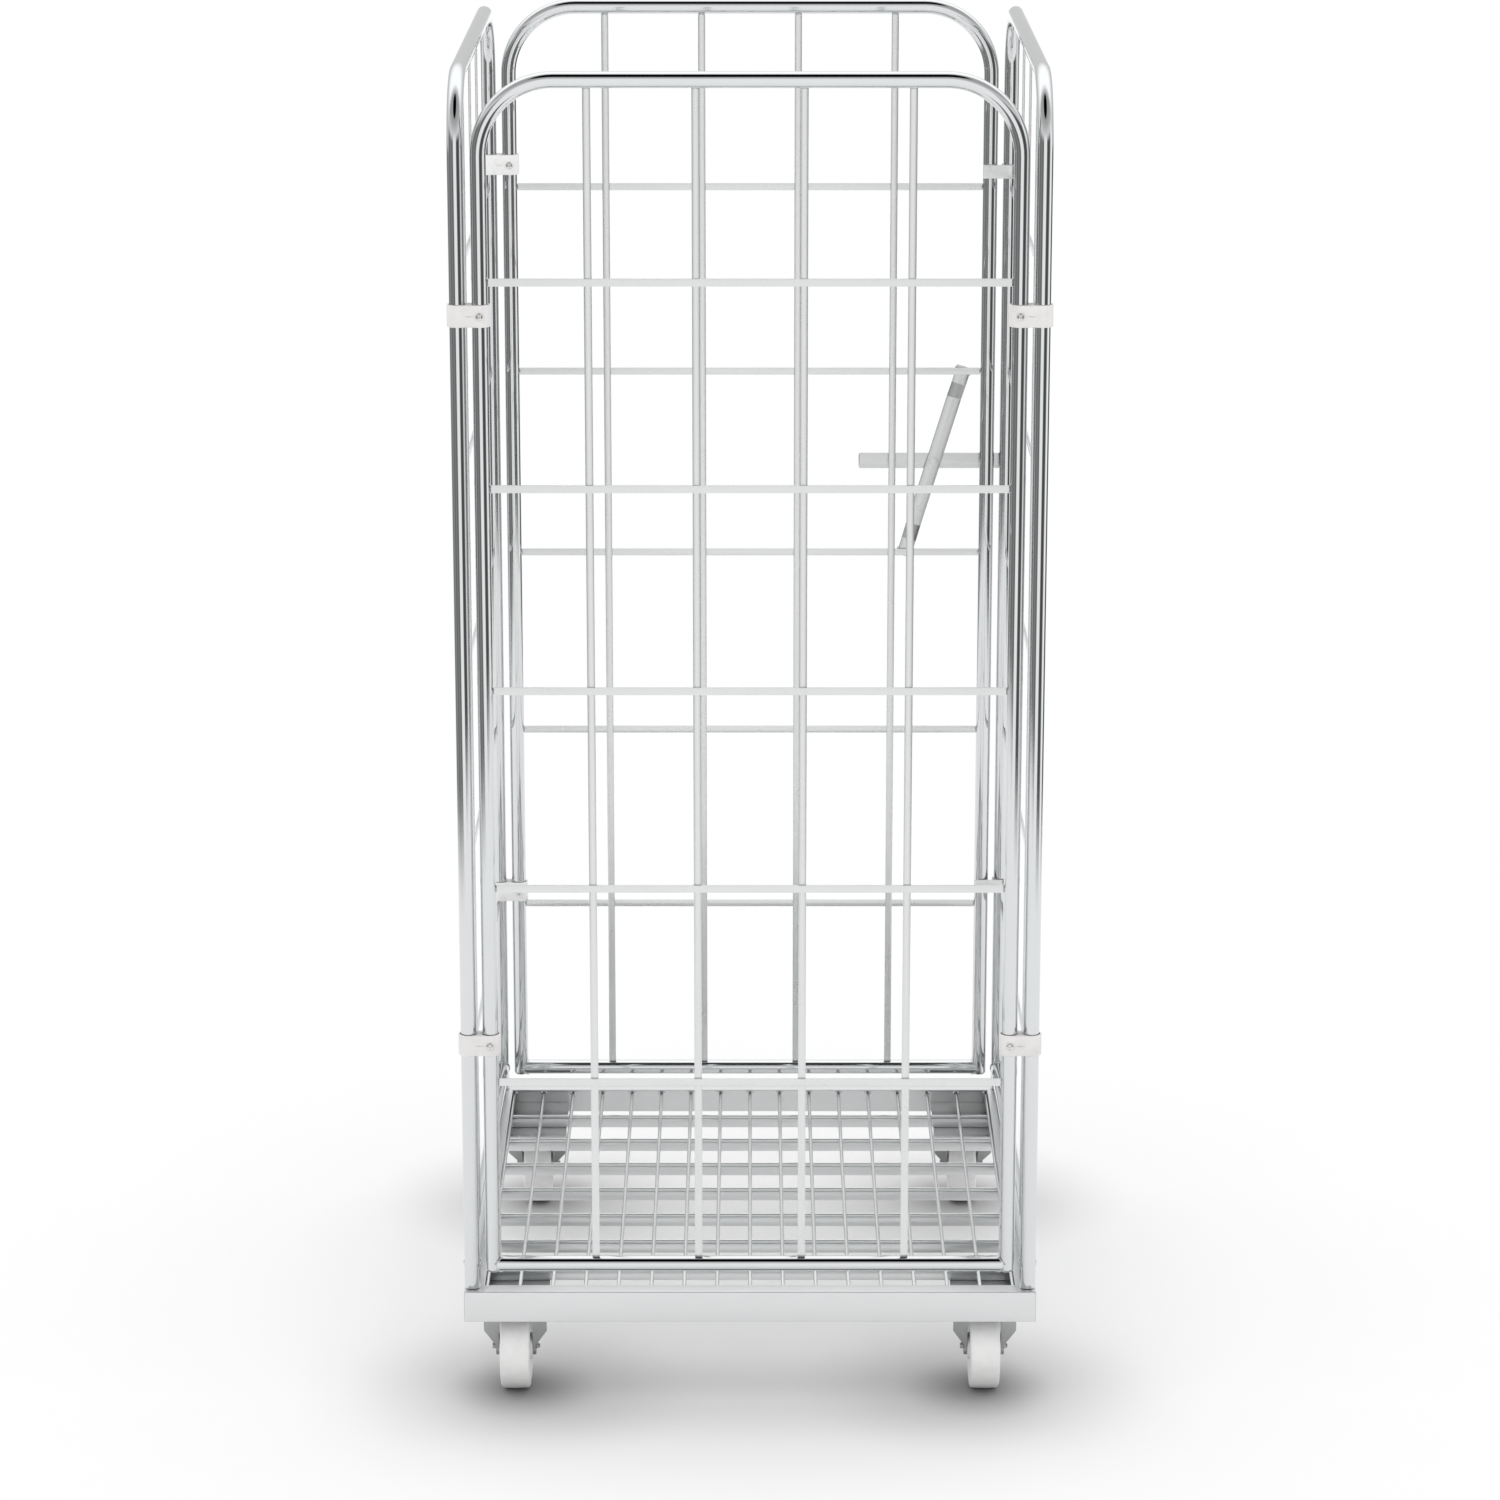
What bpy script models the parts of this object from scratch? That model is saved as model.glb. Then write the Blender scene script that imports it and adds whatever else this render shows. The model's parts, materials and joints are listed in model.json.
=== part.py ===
"""Mesh roll cage on four castors: a welded base, three fixed mesh walls, and a hinged mesh door.

Metres, +Z up, origin on the floor under the middle of the base. +X is to the right, +Y is towards
the door. The cage stands on its wheels and is open at the top.
"""
import math

import bmesh
import bpy
from mathutils import Matrix, Vector

# Driving dimensions
BASE_WIDTH = 0.720            # along X, over the side rails
BASE_DEPTH = 0.800            # along Y, over the end rails
OVERALL_HEIGHT = 1.682        # top of the walls above the floor
CLEAR = 0.0003                # between pieces that touch
BITE = 0.0004                 # how far crossing bars melt into each other where they are welded

# Base rails: angle section, one leg outside and upright, one leg on top and inwards
RAIL_HEIGHT = 0.040
RAIL_FLANGE = 0.025
RAIL_WALL = 0.003

# Deck: long wires over cross rods, with a flat bar on edge under each rod
WIRE_RADIUS = 0.0025
WIRE_PITCH = 0.0416
WIRE_MARGIN = 0.027           # from the outside of a side rail to the outermost wire's axis, at least
BAR_COUNT = 7
BAR_MARGIN = 0.109            # from the outside of an end rail to the outermost bar
BAR_THICK = 0.003
BAR_HEIGHT = 0.0125

# Wall frames: bent tube
TUBE_RADIUS = 0.010
TUBE_BEND = 0.090             # radius of the top corners, on the tube's axis
POST_INSET = 0.018            # from the outside of an end rail to the axes of the corner posts
POST_PITCH = 0.027            # from a side wall's post to the end wall's post beside it
WALL_LIFT = 0.022             # from the base to the underside of the bottom tubes

# Wall grids: flat bars, uprights inside and cross flats outside
FLAT_WIDTH = 0.0094
FLAT_THICK = 0.003
UPRIGHTS = 4
CROSS_FLATS = 5
END_GAP = 0.2415              # from the bottom and top tubes' axes to the nearest cross flats

# Plastic clips that tie an end wall's post to a side wall's post, and their screws
CLIP_WALL = 0.0025
CLIP_HEIGHT = 0.027
CLIP_BELOW_TOP_FLAT = 0.0395
CLIP_ABOVE_LOW_FLAT = 0.0505
HINGE_ABOVE_TOP_FLAT = 0.031  # the door's clips sit just above the outermost cross flats
HINGE_ABOVE_LOW_FLAT = 0.0195
SCREW_RADIUS = 0.002
SCREW_HEAD_RADIUS = 0.0045
SCREW_HEAD_HEIGHT = 0.0024

# Door stops: steel bands round the right-hand side post, with a tongue inside the door's post
STOP_THICK = 0.002
STOP_HEIGHT = 0.0185
STOP_ABOVE_TOP_FLAT = 0.022
STOP_ABOVE_LOW_FLAT = 0.0285

# Latch: a turning bar on a slanting bridge, and a keeper on the side post
LATCH_FROM_POST = 0.072       # from the door's right post to the pivot
STRAP_THICK = 0.003
BRIDGE_WIDTH = 0.020
BRIDGE_LEAN = math.radians(17)
BRIDGE_OVERRUN = 0.006        # past the middle of each cross flat that it is welded to
BRIDGE_TAB = 0.024            # length of each flat end
BRIDGE_RAMP = 0.022           # length of the slope from each flat end to the raised middle
BAR_WIDTH = 0.021
BAR_PAST_POST = 0.0035        # past the side post's axis
PIVOT_RADIUS = 0.004
PIVOT_HEAD_RADIUS = 0.007
PIVOT_HEAD_HEIGHT = 0.0024
PIVOT_FLUSH_HEIGHT = 0.0006   # the head inside the door is hammered almost flush
LATCH_DROP = math.radians(12)     # from level down into the keeper
KEEPER_WALL = 0.002
KEEPER_WIDTH = 0.017
KEEPER_SLOT = 0.0045          # between the side post and the keeper's lip
KEEPER_TAB = 0.016

# Castors
WHEEL_RADIUS = 0.054
WHEEL_WIDTH = 0.038
HUB_RADIUS = 0.017
HUB_WIDTH = 0.0424
CASTOR_INSET_X = 0.062        # from the outside of a side rail to the wheel's middle
CASTOR_INSET_Y = 0.060        # from the outside of an end rail to the axles
SWIVEL_OFFSET = 0.035         # from the swivel's axis to the axle
LEG_GAP = 0.043
LEG_THICK = 0.0025
LEG_LIP = 0.0015              # how far the leg's edges stand out beside the axle
LEG_FLARE = 0.0145            # and how much further they stand out where the flare is full
LEG_PLAIN = 0.0055            # height above the axle where they start to flare
LEG_FULL = 0.028              # height above the axle where the flare is full
LEG_FOOT = 0.0115             # radius of the leg's round end
LEG_TOP_DEPTH = 0.062
AXLE_RADIUS = 0.0028
AXLE_HEX = 0.0042
AXLE_NUT = 0.0060
PLATE_THICK = 0.0035
PLATE_INNER = 0.042           # from the wheel's middle to the plate's inner edge
PLATE_REACH = 0.1475          # from the outside of an end rail to the plate's inner edge
CROWN_THICK = 0.003
WHEEL_TO_CROWN = 0.003
RACE_RADIUS = 0.027
RACE_HEIGHT = 0.0062          # of the ball race between the crown and the top plate
KINGPIN_RADIUS = 0.006
KINGPIN_HEAD = 0.009
KINGPIN_HEAD_HEIGHT = 0.0025

# Places worked out from the dimensions above: the castors carry the base, so they set its height
AXLE_Z = WHEEL_RADIUS
CROWN_BOTTOM = 2 * WHEEL_RADIUS + WHEEL_TO_CROWN
RACE_TOP = CROWN_BOTTOM + CROWN_THICK + RACE_HEIGHT
PLATE_BOTTOM = RACE_TOP + CLEAR
PLATE_TOP = PLATE_BOTTOM + PLATE_THICK
BAR_BOTTOM = PLATE_TOP + CLEAR
BAR_TOP = BAR_BOTTOM + BAR_HEIGHT
ROD_Z = BAR_TOP + CLEAR + WIRE_RADIUS
WIRE_Z = ROD_Z + 2 * WIRE_RADIUS - BITE
BASE_TOP = WIRE_Z + WIRE_RADIUS + CLEAR + RAIL_WALL
TOP_TUBE_Z = OVERALL_HEIGHT - TUBE_RADIUS
LOW_TUBE_Z = BASE_TOP + WALL_LIFT + TUBE_RADIUS
POST_X = BASE_WIDTH / 2 - TUBE_RADIUS
POST_Y = BASE_DEPTH / 2 - POST_INSET
END_POST_X = POST_X - POST_PITCH
CROSS_PITCH = (TOP_TUBE_Z - LOW_TUBE_Z - 2 * END_GAP) / (CROSS_FLATS - 1)
CROSS_Z = [LOW_TUBE_Z + END_GAP + i * CROSS_PITCH for i in range(CROSS_FLATS)]
WHEEL_X = BASE_WIDTH / 2 - CASTOR_INSET_X
AXLE_Y = BASE_DEPTH / 2 - CASTOR_INSET_Y
SWIVEL_Y = AXLE_Y - SWIVEL_OFFSET
LATCH_X = END_POST_X - LATCH_FROM_POST
LATCH_Z = (CROSS_Z[-2] + CROSS_Z[-3]) / 2
BAR_INNER_Y = POST_Y + TUBE_RADIUS + CLEAR
BRIDGE_OUTER_Y = BAR_INNER_Y - CLEAR
RIM = TUBE_RADIUS + CLEAR     # radius of a bore that a tube runs in


# Materials

def metal(name, colour, roughness, metallic=1.0):
    """A Principled material of one colour."""
    finish = bpy.data.materials.new(name)
    finish.use_nodes = True
    shader = finish.node_tree.nodes["Principled BSDF"]
    shader.inputs["Base Color"].default_value = (*colour, 1.0)
    shader.inputs["Roughness"].default_value = roughness
    shader.inputs["Metallic"].default_value = metallic
    return finish


def make_finishes():
    """Every finish that the cage has, by name."""
    return {
        "zinc_tube": metal("zinc_tube", (0.80, 0.81, 0.82), 0.18),
        "zinc_flat": metal("zinc_flat", (0.70, 0.71, 0.71), 0.42),
        "zinc_base": metal("zinc_base", (0.72, 0.73, 0.73), 0.40),
        "zinc_castor": metal("zinc_castor", (0.74, 0.74, 0.73), 0.34),
        "bolt_steel": metal("bolt_steel", (0.55, 0.55, 0.54), 0.35),
        "wheel_plastic": metal("wheel_plastic", (0.86, 0.86, 0.85), 0.45, 0.0),
        "clip_plastic": metal("clip_plastic", (0.84, 0.80, 0.79), 0.48, 0.0),
    }


# Modelling tools

def solid(name, bm, finish):
    """Turn a bmesh into a named object with its faces pointing out."""
    bmesh.ops.recalc_face_normals(bm, faces=bm.faces)
    mesh = bpy.data.meshes.new(name)
    bm.to_mesh(mesh)
    bm.free()
    mesh.materials.append(finish)
    piece = bpy.data.objects.new(name, mesh)
    bpy.context.collection.objects.link(piece)
    return piece


def box(low, high):
    """A box from its lowest corner to its highest."""
    bm = bmesh.new()
    bmesh.ops.create_cube(bm, size=1.0)
    low, high = Vector(low), Vector(high)
    bmesh.ops.scale(bm, vec=high - low, verts=bm.verts)
    bmesh.ops.translate(bm, vec=(low + high) / 2, verts=bm.verts)
    return bm


def prism(outline, height):
    """An outline in the XY plane, raised by a height."""
    bm = bmesh.new()
    face = bm.faces.new([bm.verts.new((x, y, 0.0)) for x, y in outline])
    raised = bmesh.ops.extrude_face_region(bm, geom=[face])["geom"]
    top = [item for item in raised if isinstance(item, bmesh.types.BMVert)]
    bmesh.ops.translate(bm, vec=(0.0, 0.0, height), verts=top)
    return bm


def arc(centre, radius, start, end, steps):
    """Points along an arc, with angles in degrees."""
    turns = [math.radians(start + (end - start) * i / steps) for i in range(steps + 1)]
    return [(centre[0] + radius * math.cos(t), centre[1] + radius * math.sin(t)) for t in turns]


def rod(start, end, radius, sides):
    """A round bar between two points, its first side facing up where it lies flat."""
    start, end = Vector(start), Vector(end)
    bm = bmesh.new()
    bmesh.ops.create_cone(bm, cap_ends=True, segments=sides, radius1=radius, radius2=radius,
                          depth=(end - start).length)
    bmesh.ops.rotate(bm, matrix=Matrix.Rotation(math.pi / sides, 3, "Z"), verts=bm.verts)
    turn = (end - start).to_track_quat("Z", "Y").to_matrix()
    bmesh.ops.rotate(bm, matrix=turn, verts=bm.verts)
    bmesh.ops.translate(bm, vec=(start + end) / 2, verts=bm.verts)
    return bm


def turned(profile, sides, axis="Z"):
    """A closed outline of (radius, height) points, spun about an axis."""
    bm = bmesh.new()
    corners = [bm.verts.new((r, 0.0, z)) for r, z in profile]
    edges = [bm.edges.new((corners[i - 1], corners[i])) for i in range(len(corners))]
    bmesh.ops.spin(bm, geom=corners + edges, cent=(0, 0, 0), axis=(0, 0, 1), dvec=(0, 0, 0),
                   angle=2 * math.pi, steps=sides, use_merge=True, use_duplicate=False)
    bmesh.ops.remove_doubles(bm, verts=bm.verts, dist=1e-6)
    if axis == "X":
        bmesh.ops.rotate(bm, matrix=Matrix.Rotation(math.pi / 2, 3, "Y"), verts=bm.verts)
    if axis == "Y":
        bmesh.ops.rotate(bm, matrix=Matrix.Rotation(-math.pi / 2, 3, "X"), verts=bm.verts)
    return bm


def stack(levels):
    """Outlines one above another, each (z, points), joined into one solid."""
    bm = bmesh.new()
    rings = [[bm.verts.new((x, y, z)) for x, y in outline] for z, outline in levels]
    bm.faces.new(rings[0])
    bm.faces.new(rings[-1])
    for low, high in zip(rings, rings[1:]):
        for i in range(len(low)):
            bm.faces.new((low[i - 1], low[i], high[i], high[i - 1]))
    return bm


def shaped(name, bodies, cuts, finish):
    """One piece from shapes that are welded together and shapes that are cut away."""
    shapes = [solid(name + "_shape", bm, finish) for bm in bodies + cuts]
    base, rest = shapes[0], shapes[1:]
    adds, holes = rest[:len(bodies) - 1], rest[len(bodies) - 1:]
    groups = []
    for operation, members in (("UNION", adds), ("DIFFERENCE", holes)):
        if not members:
            continue
        group = bpy.data.collections.new(name + "_" + operation.lower())
        for member in members:
            group.objects.link(member)
        step = base.modifiers.new(operation.title(), "BOOLEAN")
        step.operation = operation
        step.operand_type = "COLLECTION"
        step.collection = group
        step.solver = "EXACT"
        groups.append(group)
    seen = base.evaluated_get(bpy.context.evaluated_depsgraph_get())
    mesh = bpy.data.meshes.new_from_object(seen)
    mesh.name = name
    for group in groups:
        bpy.data.collections.remove(group)
    for shape in shapes:
        bpy.data.objects.remove(shape)
    bm = bmesh.new()
    bm.from_mesh(mesh)
    bmesh.ops.dissolve_limit(bm, angle_limit=math.radians(0.1), verts=bm.verts, edges=bm.edges)
    bmesh.ops.triangulate(bm, faces=bm.faces)
    bm.to_mesh(mesh)
    bm.free()
    piece = bpy.data.objects.new(name, mesh)
    bpy.context.collection.objects.link(piece)
    return piece


def bent_tube(name, corners, bend, finish):
    """A round tube along straight runs, with a bend at each inner corner."""
    path = [Vector(corners[0])]
    for before, corner, after in zip(corners, corners[1:], corners[2:]):
        corner = Vector(corner)
        back = (Vector(before) - corner).normalized()
        ahead = (Vector(after) - corner).normalized()
        half = back.angle(ahead) / 2
        centre = corner + (back + ahead).normalized() * bend / math.sin(half)
        first = corner + back * bend / math.tan(half) - centre
        last = corner + ahead * bend / math.tan(half) - centre
        steps = 7
        for i in range(steps + 1):
            path.append(centre + first.normalized().slerp(last.normalized(), i / steps) * bend)
    path.append(Vector(corners[-1]))
    curve = bpy.data.curves.new(name, "CURVE")
    curve.dimensions = "3D"
    curve.bevel_depth = TUBE_RADIUS
    curve.bevel_resolution = 4
    curve.use_fill_caps = True
    line = curve.splines.new("POLY")
    line.points.add(len(path) - 1)
    for point, place in zip(line.points, path):
        point.co = (*place, 1.0)
    curve.materials.append(finish)
    tube = bpy.data.objects.new(name, curve)
    bpy.context.collection.objects.link(tube)
    return tube


def pivot(name, place):
    """An empty on a joint's axis, to carry the pieces that move together."""
    empty = bpy.data.objects.new(name, None)
    empty.location = place
    bpy.context.collection.objects.link(empty)
    return empty


def put(piece, place, turn=0.0, carrier=None):
    """Place a piece, turned about Z, and hang it on the empty that carries it."""
    place = Vector(place)
    if carrier is not None:
        place -= Vector(carrier.location)
        if carrier.parent is not None:
            place -= Vector(carrier.parent.location)
        piece.parent = carrier
    piece.location = place
    piece.rotation_euler = (0.0, 0.0, turn)
    return piece


# Base

def base_rail(name, length, finish):
    """An angle with mitred ends along local X, its upright leg outside at +Y."""
    profile = [(0.0, 0.0), (0.0, -RAIL_HEIGHT), (RAIL_WALL, -RAIL_HEIGHT), (RAIL_WALL, -RAIL_WALL),
               (RAIL_FLANGE, -RAIL_WALL), (RAIL_FLANGE, 0.0)]
    bm = bmesh.new()
    ends = []
    for side in (-1, 1):
        reach = length / 2 - CLEAR
        ends.append([bm.verts.new((side * (reach - inset), -inset, z)) for inset, z in profile])
    bm.faces.new(ends[0])
    bm.faces.new(ends[1])
    for i in range(len(profile)):
        bm.faces.new((ends[0][i - 1], ends[0][i], ends[1][i], ends[1][i - 1]))
    return solid(name, bm, finish)


def make_base(finishes):
    """Four mitred rails, the wire deck, and the flat bars under it."""
    steel = finishes["zinc_base"]
    half_x, half_y = BASE_WIDTH / 2, BASE_DEPTH / 2
    put(base_rail("base_rail_rear", BASE_WIDTH, steel), (0, half_y, BASE_TOP))
    put(base_rail("base_rail_front", BASE_WIDTH, steel), (0, -half_y, BASE_TOP), math.pi)
    put(base_rail("base_rail_right", BASE_DEPTH, steel), (half_x, 0, BASE_TOP), -math.pi / 2)
    put(base_rail("base_rail_left", BASE_DEPTH, steel), (-half_x, 0, BASE_TOP), math.pi / 2)

    reach_x = half_x - RAIL_WALL - CLEAR
    reach_y = half_y - RAIL_WALL - CLEAR
    steps = int((half_x - WIRE_MARGIN) / WIRE_PITCH)
    wires = [rod((i * WIRE_PITCH, -reach_y, WIRE_Z), (i * WIRE_PITCH, reach_y, WIRE_Z), WIRE_RADIUS, 8)
             for i in range(-steps, steps + 1)]
    bar_reach = half_y - BAR_MARGIN
    bar_places = [-bar_reach + 2 * bar_reach * i / (BAR_COUNT - 1) for i in range(BAR_COUNT)]
    rods = [rod((-reach_x, y, ROD_Z), (reach_x, y, ROD_Z), WIRE_RADIUS, 8) for y in bar_places]
    shaped("deck_mesh", wires + rods, [], steel)
    for number, y in enumerate(bar_places, 1):
        bar = box((-reach_x, -BAR_THICK / 2, BAR_BOTTOM), (reach_x, BAR_THICK / 2, BAR_TOP))
        put(solid(f"deck_bar_{number}", bar, steel), (0, y, 0))


# Walls

def wall_grid(name, half_span, finish):
    """Flat bars between two posts: uprights inside (-Y), cross flats outside (+Y)."""
    low, high = LOW_TUBE_Z + TUBE_RADIUS + CLEAR, TOP_TUBE_Z - TUBE_RADIUS - CLEAR
    reach = half_span - TUBE_RADIUS - CLEAR
    half = FLAT_WIDTH / 2
    bars = []
    for i in range(UPRIGHTS):
        x = half_span * (2 * (i + 1) / (UPRIGHTS + 1) - 1)
        bars.append(box((x - half, BITE - FLAT_THICK, low), (x + half, BITE, high)))
    for z in CROSS_Z:
        bars.append(box((-reach, 0.0, z - half), (reach, FLAT_THICK, z + half)))
    return shaped(name, bars, [], finish)


def wall(name, half_span, foot_z, place, turn, finishes, carrier=None):
    """A bent tube frame with a bottom tube and a grid of flat bars, facing out along local +Y."""
    corners = [(-half_span, 0, foot_z), (-half_span, 0, TOP_TUBE_Z),
               (half_span, 0, TOP_TUBE_Z), (half_span, 0, foot_z)]
    reach = half_span - TUBE_RADIUS - CLEAR
    low_ends = [(-reach, 0, LOW_TUBE_Z), (reach, 0, LOW_TUBE_Z)]
    frame = bent_tube(name + "_frame_tube", corners, TUBE_BEND, finishes["zinc_tube"])
    bottom = bent_tube(name + "_bottom_tube", low_ends, TUBE_BEND, finishes["zinc_tube"])
    grid = wall_grid(name + "_grid", half_span, finishes["zinc_flat"])
    for piece in (frame, bottom, grid):
        put(piece, place, turn, carrier)


# Clips and stops between neighbouring posts

def post_clip(name, side, finish):
    """A plastic clip round a side post at the origin and the end post beside it."""
    radius = RIM + CLIP_WALL
    near = arc((0, 0), radius, 90, 270, 8)
    far = arc((POST_PITCH, 0), radius, -90, 90, 8)
    outline = [(side * x, y) for x, y in near + far]
    sides = 16
    bore = RIM / math.cos(math.pi / sides)
    half = CLIP_HEIGHT / 2
    body = prism(outline, CLIP_HEIGHT)
    bmesh.ops.translate(body, vec=(0, 0, -half), verts=body.verts)
    cuts = [rod((x, 0, -CLIP_HEIGHT), (x, 0, CLIP_HEIGHT), bore, sides) for x in (0, side * POST_PITCH)]
    screw_x = side * POST_PITCH
    hole = SCREW_RADIUS + CLEAR
    cuts.append(rod((screw_x, -2 * radius, 0), (screw_x, 0, 0), hole / math.cos(math.pi / 12), 12))
    return shaped(name, [body], cuts, finish)


def clip_screw(name, finish):
    """A pan head screw on its axis along Y, its head outside at -Y, flush with the clip's bore."""
    seat = RIM + CLIP_WALL + CLEAR
    top = seat + SCREW_HEAD_HEIGHT
    profile = [(0.0, RIM), (SCREW_RADIUS, RIM), (SCREW_RADIUS, seat), (SCREW_HEAD_RADIUS, seat),
               (SCREW_HEAD_RADIUS, seat + SCREW_HEAD_HEIGHT / 2), (SCREW_HEAD_RADIUS * 0.75, top), (0.0, top)]
    bm = turned(profile, 10, "Y")
    bmesh.ops.scale(bm, vec=(1, -1, 1), verts=bm.verts)
    return solid(name, bm, finish)


def make_clips(finishes, hinge):
    """Clips tie the front wall to both side walls, and hang the door on the left one."""
    front = [("bottom", CROSS_Z[0] + CLIP_ABOVE_LOW_FLAT), ("top", CROSS_Z[-1] - CLIP_BELOW_TOP_FLAT)]
    door = [("bottom", CROSS_Z[0] + HINGE_ABOVE_LOW_FLAT), ("top", CROSS_Z[-1] + HINGE_ABOVE_TOP_FLAT)]
    places = [(f"front_clip_left_{level}", -1, -POST_Y, z, None) for level, z in front]
    places += [(f"front_clip_right_{level}", 1, -POST_Y, z, None) for level, z in front]
    places += [(f"door_hinge_clip_{level}", -1, POST_Y, z, hinge) for level, z in door]
    for name, side, y, z, carrier in places:
        put(post_clip(name, -side, finishes["clip_plastic"]), (side * POST_X, y, z), 0, carrier)
        put(clip_screw(name + "_screw", finishes["bolt_steel"]), (side * END_POST_X, y, z), 0, carrier)


def make_stops(finishes):
    """Bands round the right side post, whose tongues stop the door's post from swinging in."""
    outer = RIM + STOP_THICK
    sides = 16
    levels = (("bottom", CROSS_Z[0] + STOP_ABOVE_LOW_FLAT), ("top", CROSS_Z[-1] + STOP_ABOVE_TOP_FLAT))
    for level, z in levels:
        ring = rod((0, 0, -STOP_HEIGHT / 2), (0, 0, STOP_HEIGHT / 2), outer, sides)
        tongue = box((-POST_PITCH - TUBE_RADIUS, -outer, -STOP_HEIGHT / 2), (0, -RIM, STOP_HEIGHT / 2))
        bore = rod((0, 0, -STOP_HEIGHT), (0, 0, STOP_HEIGHT), RIM / math.cos(math.pi / sides), sides)
        stop = shaped(f"door_stop_{level}", [ring, tongue], [bore], finishes["zinc_flat"])
        put(stop, (POST_X, POST_Y, z))


# Latch

def strap(route, thickness, width):
    """A flat strap of one width along a route of (along, out) points, across Z."""
    offsets = []
    for i in range(len(route)):
        before, after = Vector(route[max(i - 1, 0)]), Vector(route[min(i + 1, len(route) - 1)])
        run = (after - before).normalized()
        offsets.append(Vector((-run.y, run.x)) * thickness)
    outline = list(route) + [tuple(Vector(p) + o) for p, o in zip(reversed(route), reversed(offsets))]
    bm = prism(outline, width)
    bmesh.ops.translate(bm, vec=(0, 0, -width / 2), verts=bm.verts)
    return bm


def pivot_hole():
    """The rivet's clearance hole, along Y outwards from the middle of the door's tubes."""
    sides = 16
    return rod((0, 0, 0), (0, 3 * TUBE_RADIUS, 0), (PIVOT_RADIUS + CLEAR) / math.cos(math.pi / sides), sides)


def make_latch(finishes, hinge):
    """The bridge welded across two cross flats, the bar that turns on it, and its rivet."""
    steel = finishes["zinc_flat"]
    flat_y = FLAT_THICK + CLEAR
    raised_y = BRIDGE_OUTER_Y - STRAP_THICK - POST_Y
    half = (CROSS_PITCH / 2) / math.cos(BRIDGE_LEAN) + BRIDGE_OVERRUN
    ramp = half - BRIDGE_TAB
    route = [(-half, flat_y), (-ramp, flat_y), (BRIDGE_RAMP - ramp, raised_y),
             (ramp - BRIDGE_RAMP, raised_y), (ramp, flat_y), (half, flat_y)]
    bridge = strap(route, STRAP_THICK, BRIDGE_WIDTH)
    bmesh.ops.rotate(bridge, matrix=Matrix.Rotation(BRIDGE_LEAN - math.pi / 2, 3, "Y"), verts=bridge.verts)
    place = (LATCH_X, POST_Y, LATCH_Z)
    put(shaped("latch_bridge", [bridge], [pivot_hole()], steel), place, 0, hinge)

    inside = raised_y - CLEAR
    outside = BAR_INNER_Y + STRAP_THICK + CLEAR - POST_Y
    crown = PIVOT_HEAD_RADIUS * 0.7
    rivet = [(0, inside - PIVOT_FLUSH_HEIGHT), (crown, inside - PIVOT_FLUSH_HEIGHT),
             (PIVOT_HEAD_RADIUS, inside), (PIVOT_RADIUS, inside), (PIVOT_RADIUS, outside),
             (PIVOT_HEAD_RADIUS, outside), (crown, outside + PIVOT_HEAD_HEIGHT), (0, outside + PIVOT_HEAD_HEIGHT)]
    put(solid("latch_rivet", turned(rivet, 16, "Y"), finishes["bolt_steel"]), place, 0, hinge)

    latch_pivot = pivot("latch_pivot", (0, 0, 0))
    put(latch_pivot, place, 0, hinge)
    reach = POST_X + BAR_PAST_POST - LATCH_X
    inner = BAR_INNER_Y - POST_Y
    bar = prism([(-reach, -BAR_WIDTH / 2), (reach, -BAR_WIDTH / 2), (reach, BAR_WIDTH / 2),
                 (-reach, BAR_WIDTH / 2)], STRAP_THICK)
    bmesh.ops.rotate(bar, matrix=Matrix.Rotation(math.pi / 2, 3, "X"), verts=bar.verts)
    bmesh.ops.translate(bar, vec=(0, inner + STRAP_THICK, 0), verts=bar.verts)
    put(shaped("latch_bar", [bar], [pivot_hole()], steel), place, 0, latch_pivot)


def make_keeper(finishes):
    """A joggled strap on the side post: a tab on the post, a shelf, and a lip outside the bar."""
    reach = POST_X + BAR_PAST_POST - LATCH_X
    lip_top = LATCH_Z - BAR_WIDTH / 2 - 5 * CLEAR
    dropped = reach * math.sin(LATCH_DROP) + BAR_WIDTH / 2 * math.cos(LATCH_DROP)
    shelf = LATCH_Z - dropped - 2 * CLEAR
    back = RIM
    lip = TUBE_RADIUS + KEEPER_SLOT
    under = shelf - KEEPER_WALL
    tab_foot = under - KEEPER_TAB
    outline = [(back, tab_foot), (back, shelf), (lip, shelf), (lip, lip_top), (lip + KEEPER_WALL, lip_top),
               (lip + KEEPER_WALL, under), (back + KEEPER_WALL, under), (back + KEEPER_WALL, tab_foot)]
    bm = prism(outline, KEEPER_WIDTH)
    turn = Matrix(((0, 0, 1), (1, 0, 0), (0, 1, 0)))
    bmesh.ops.rotate(bm, matrix=turn, verts=bm.verts)
    put(solid("latch_keeper", bm, finishes["zinc_flat"]), (POST_X - KEEPER_WIDTH / 2, POST_Y, 0))


# Castors

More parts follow.
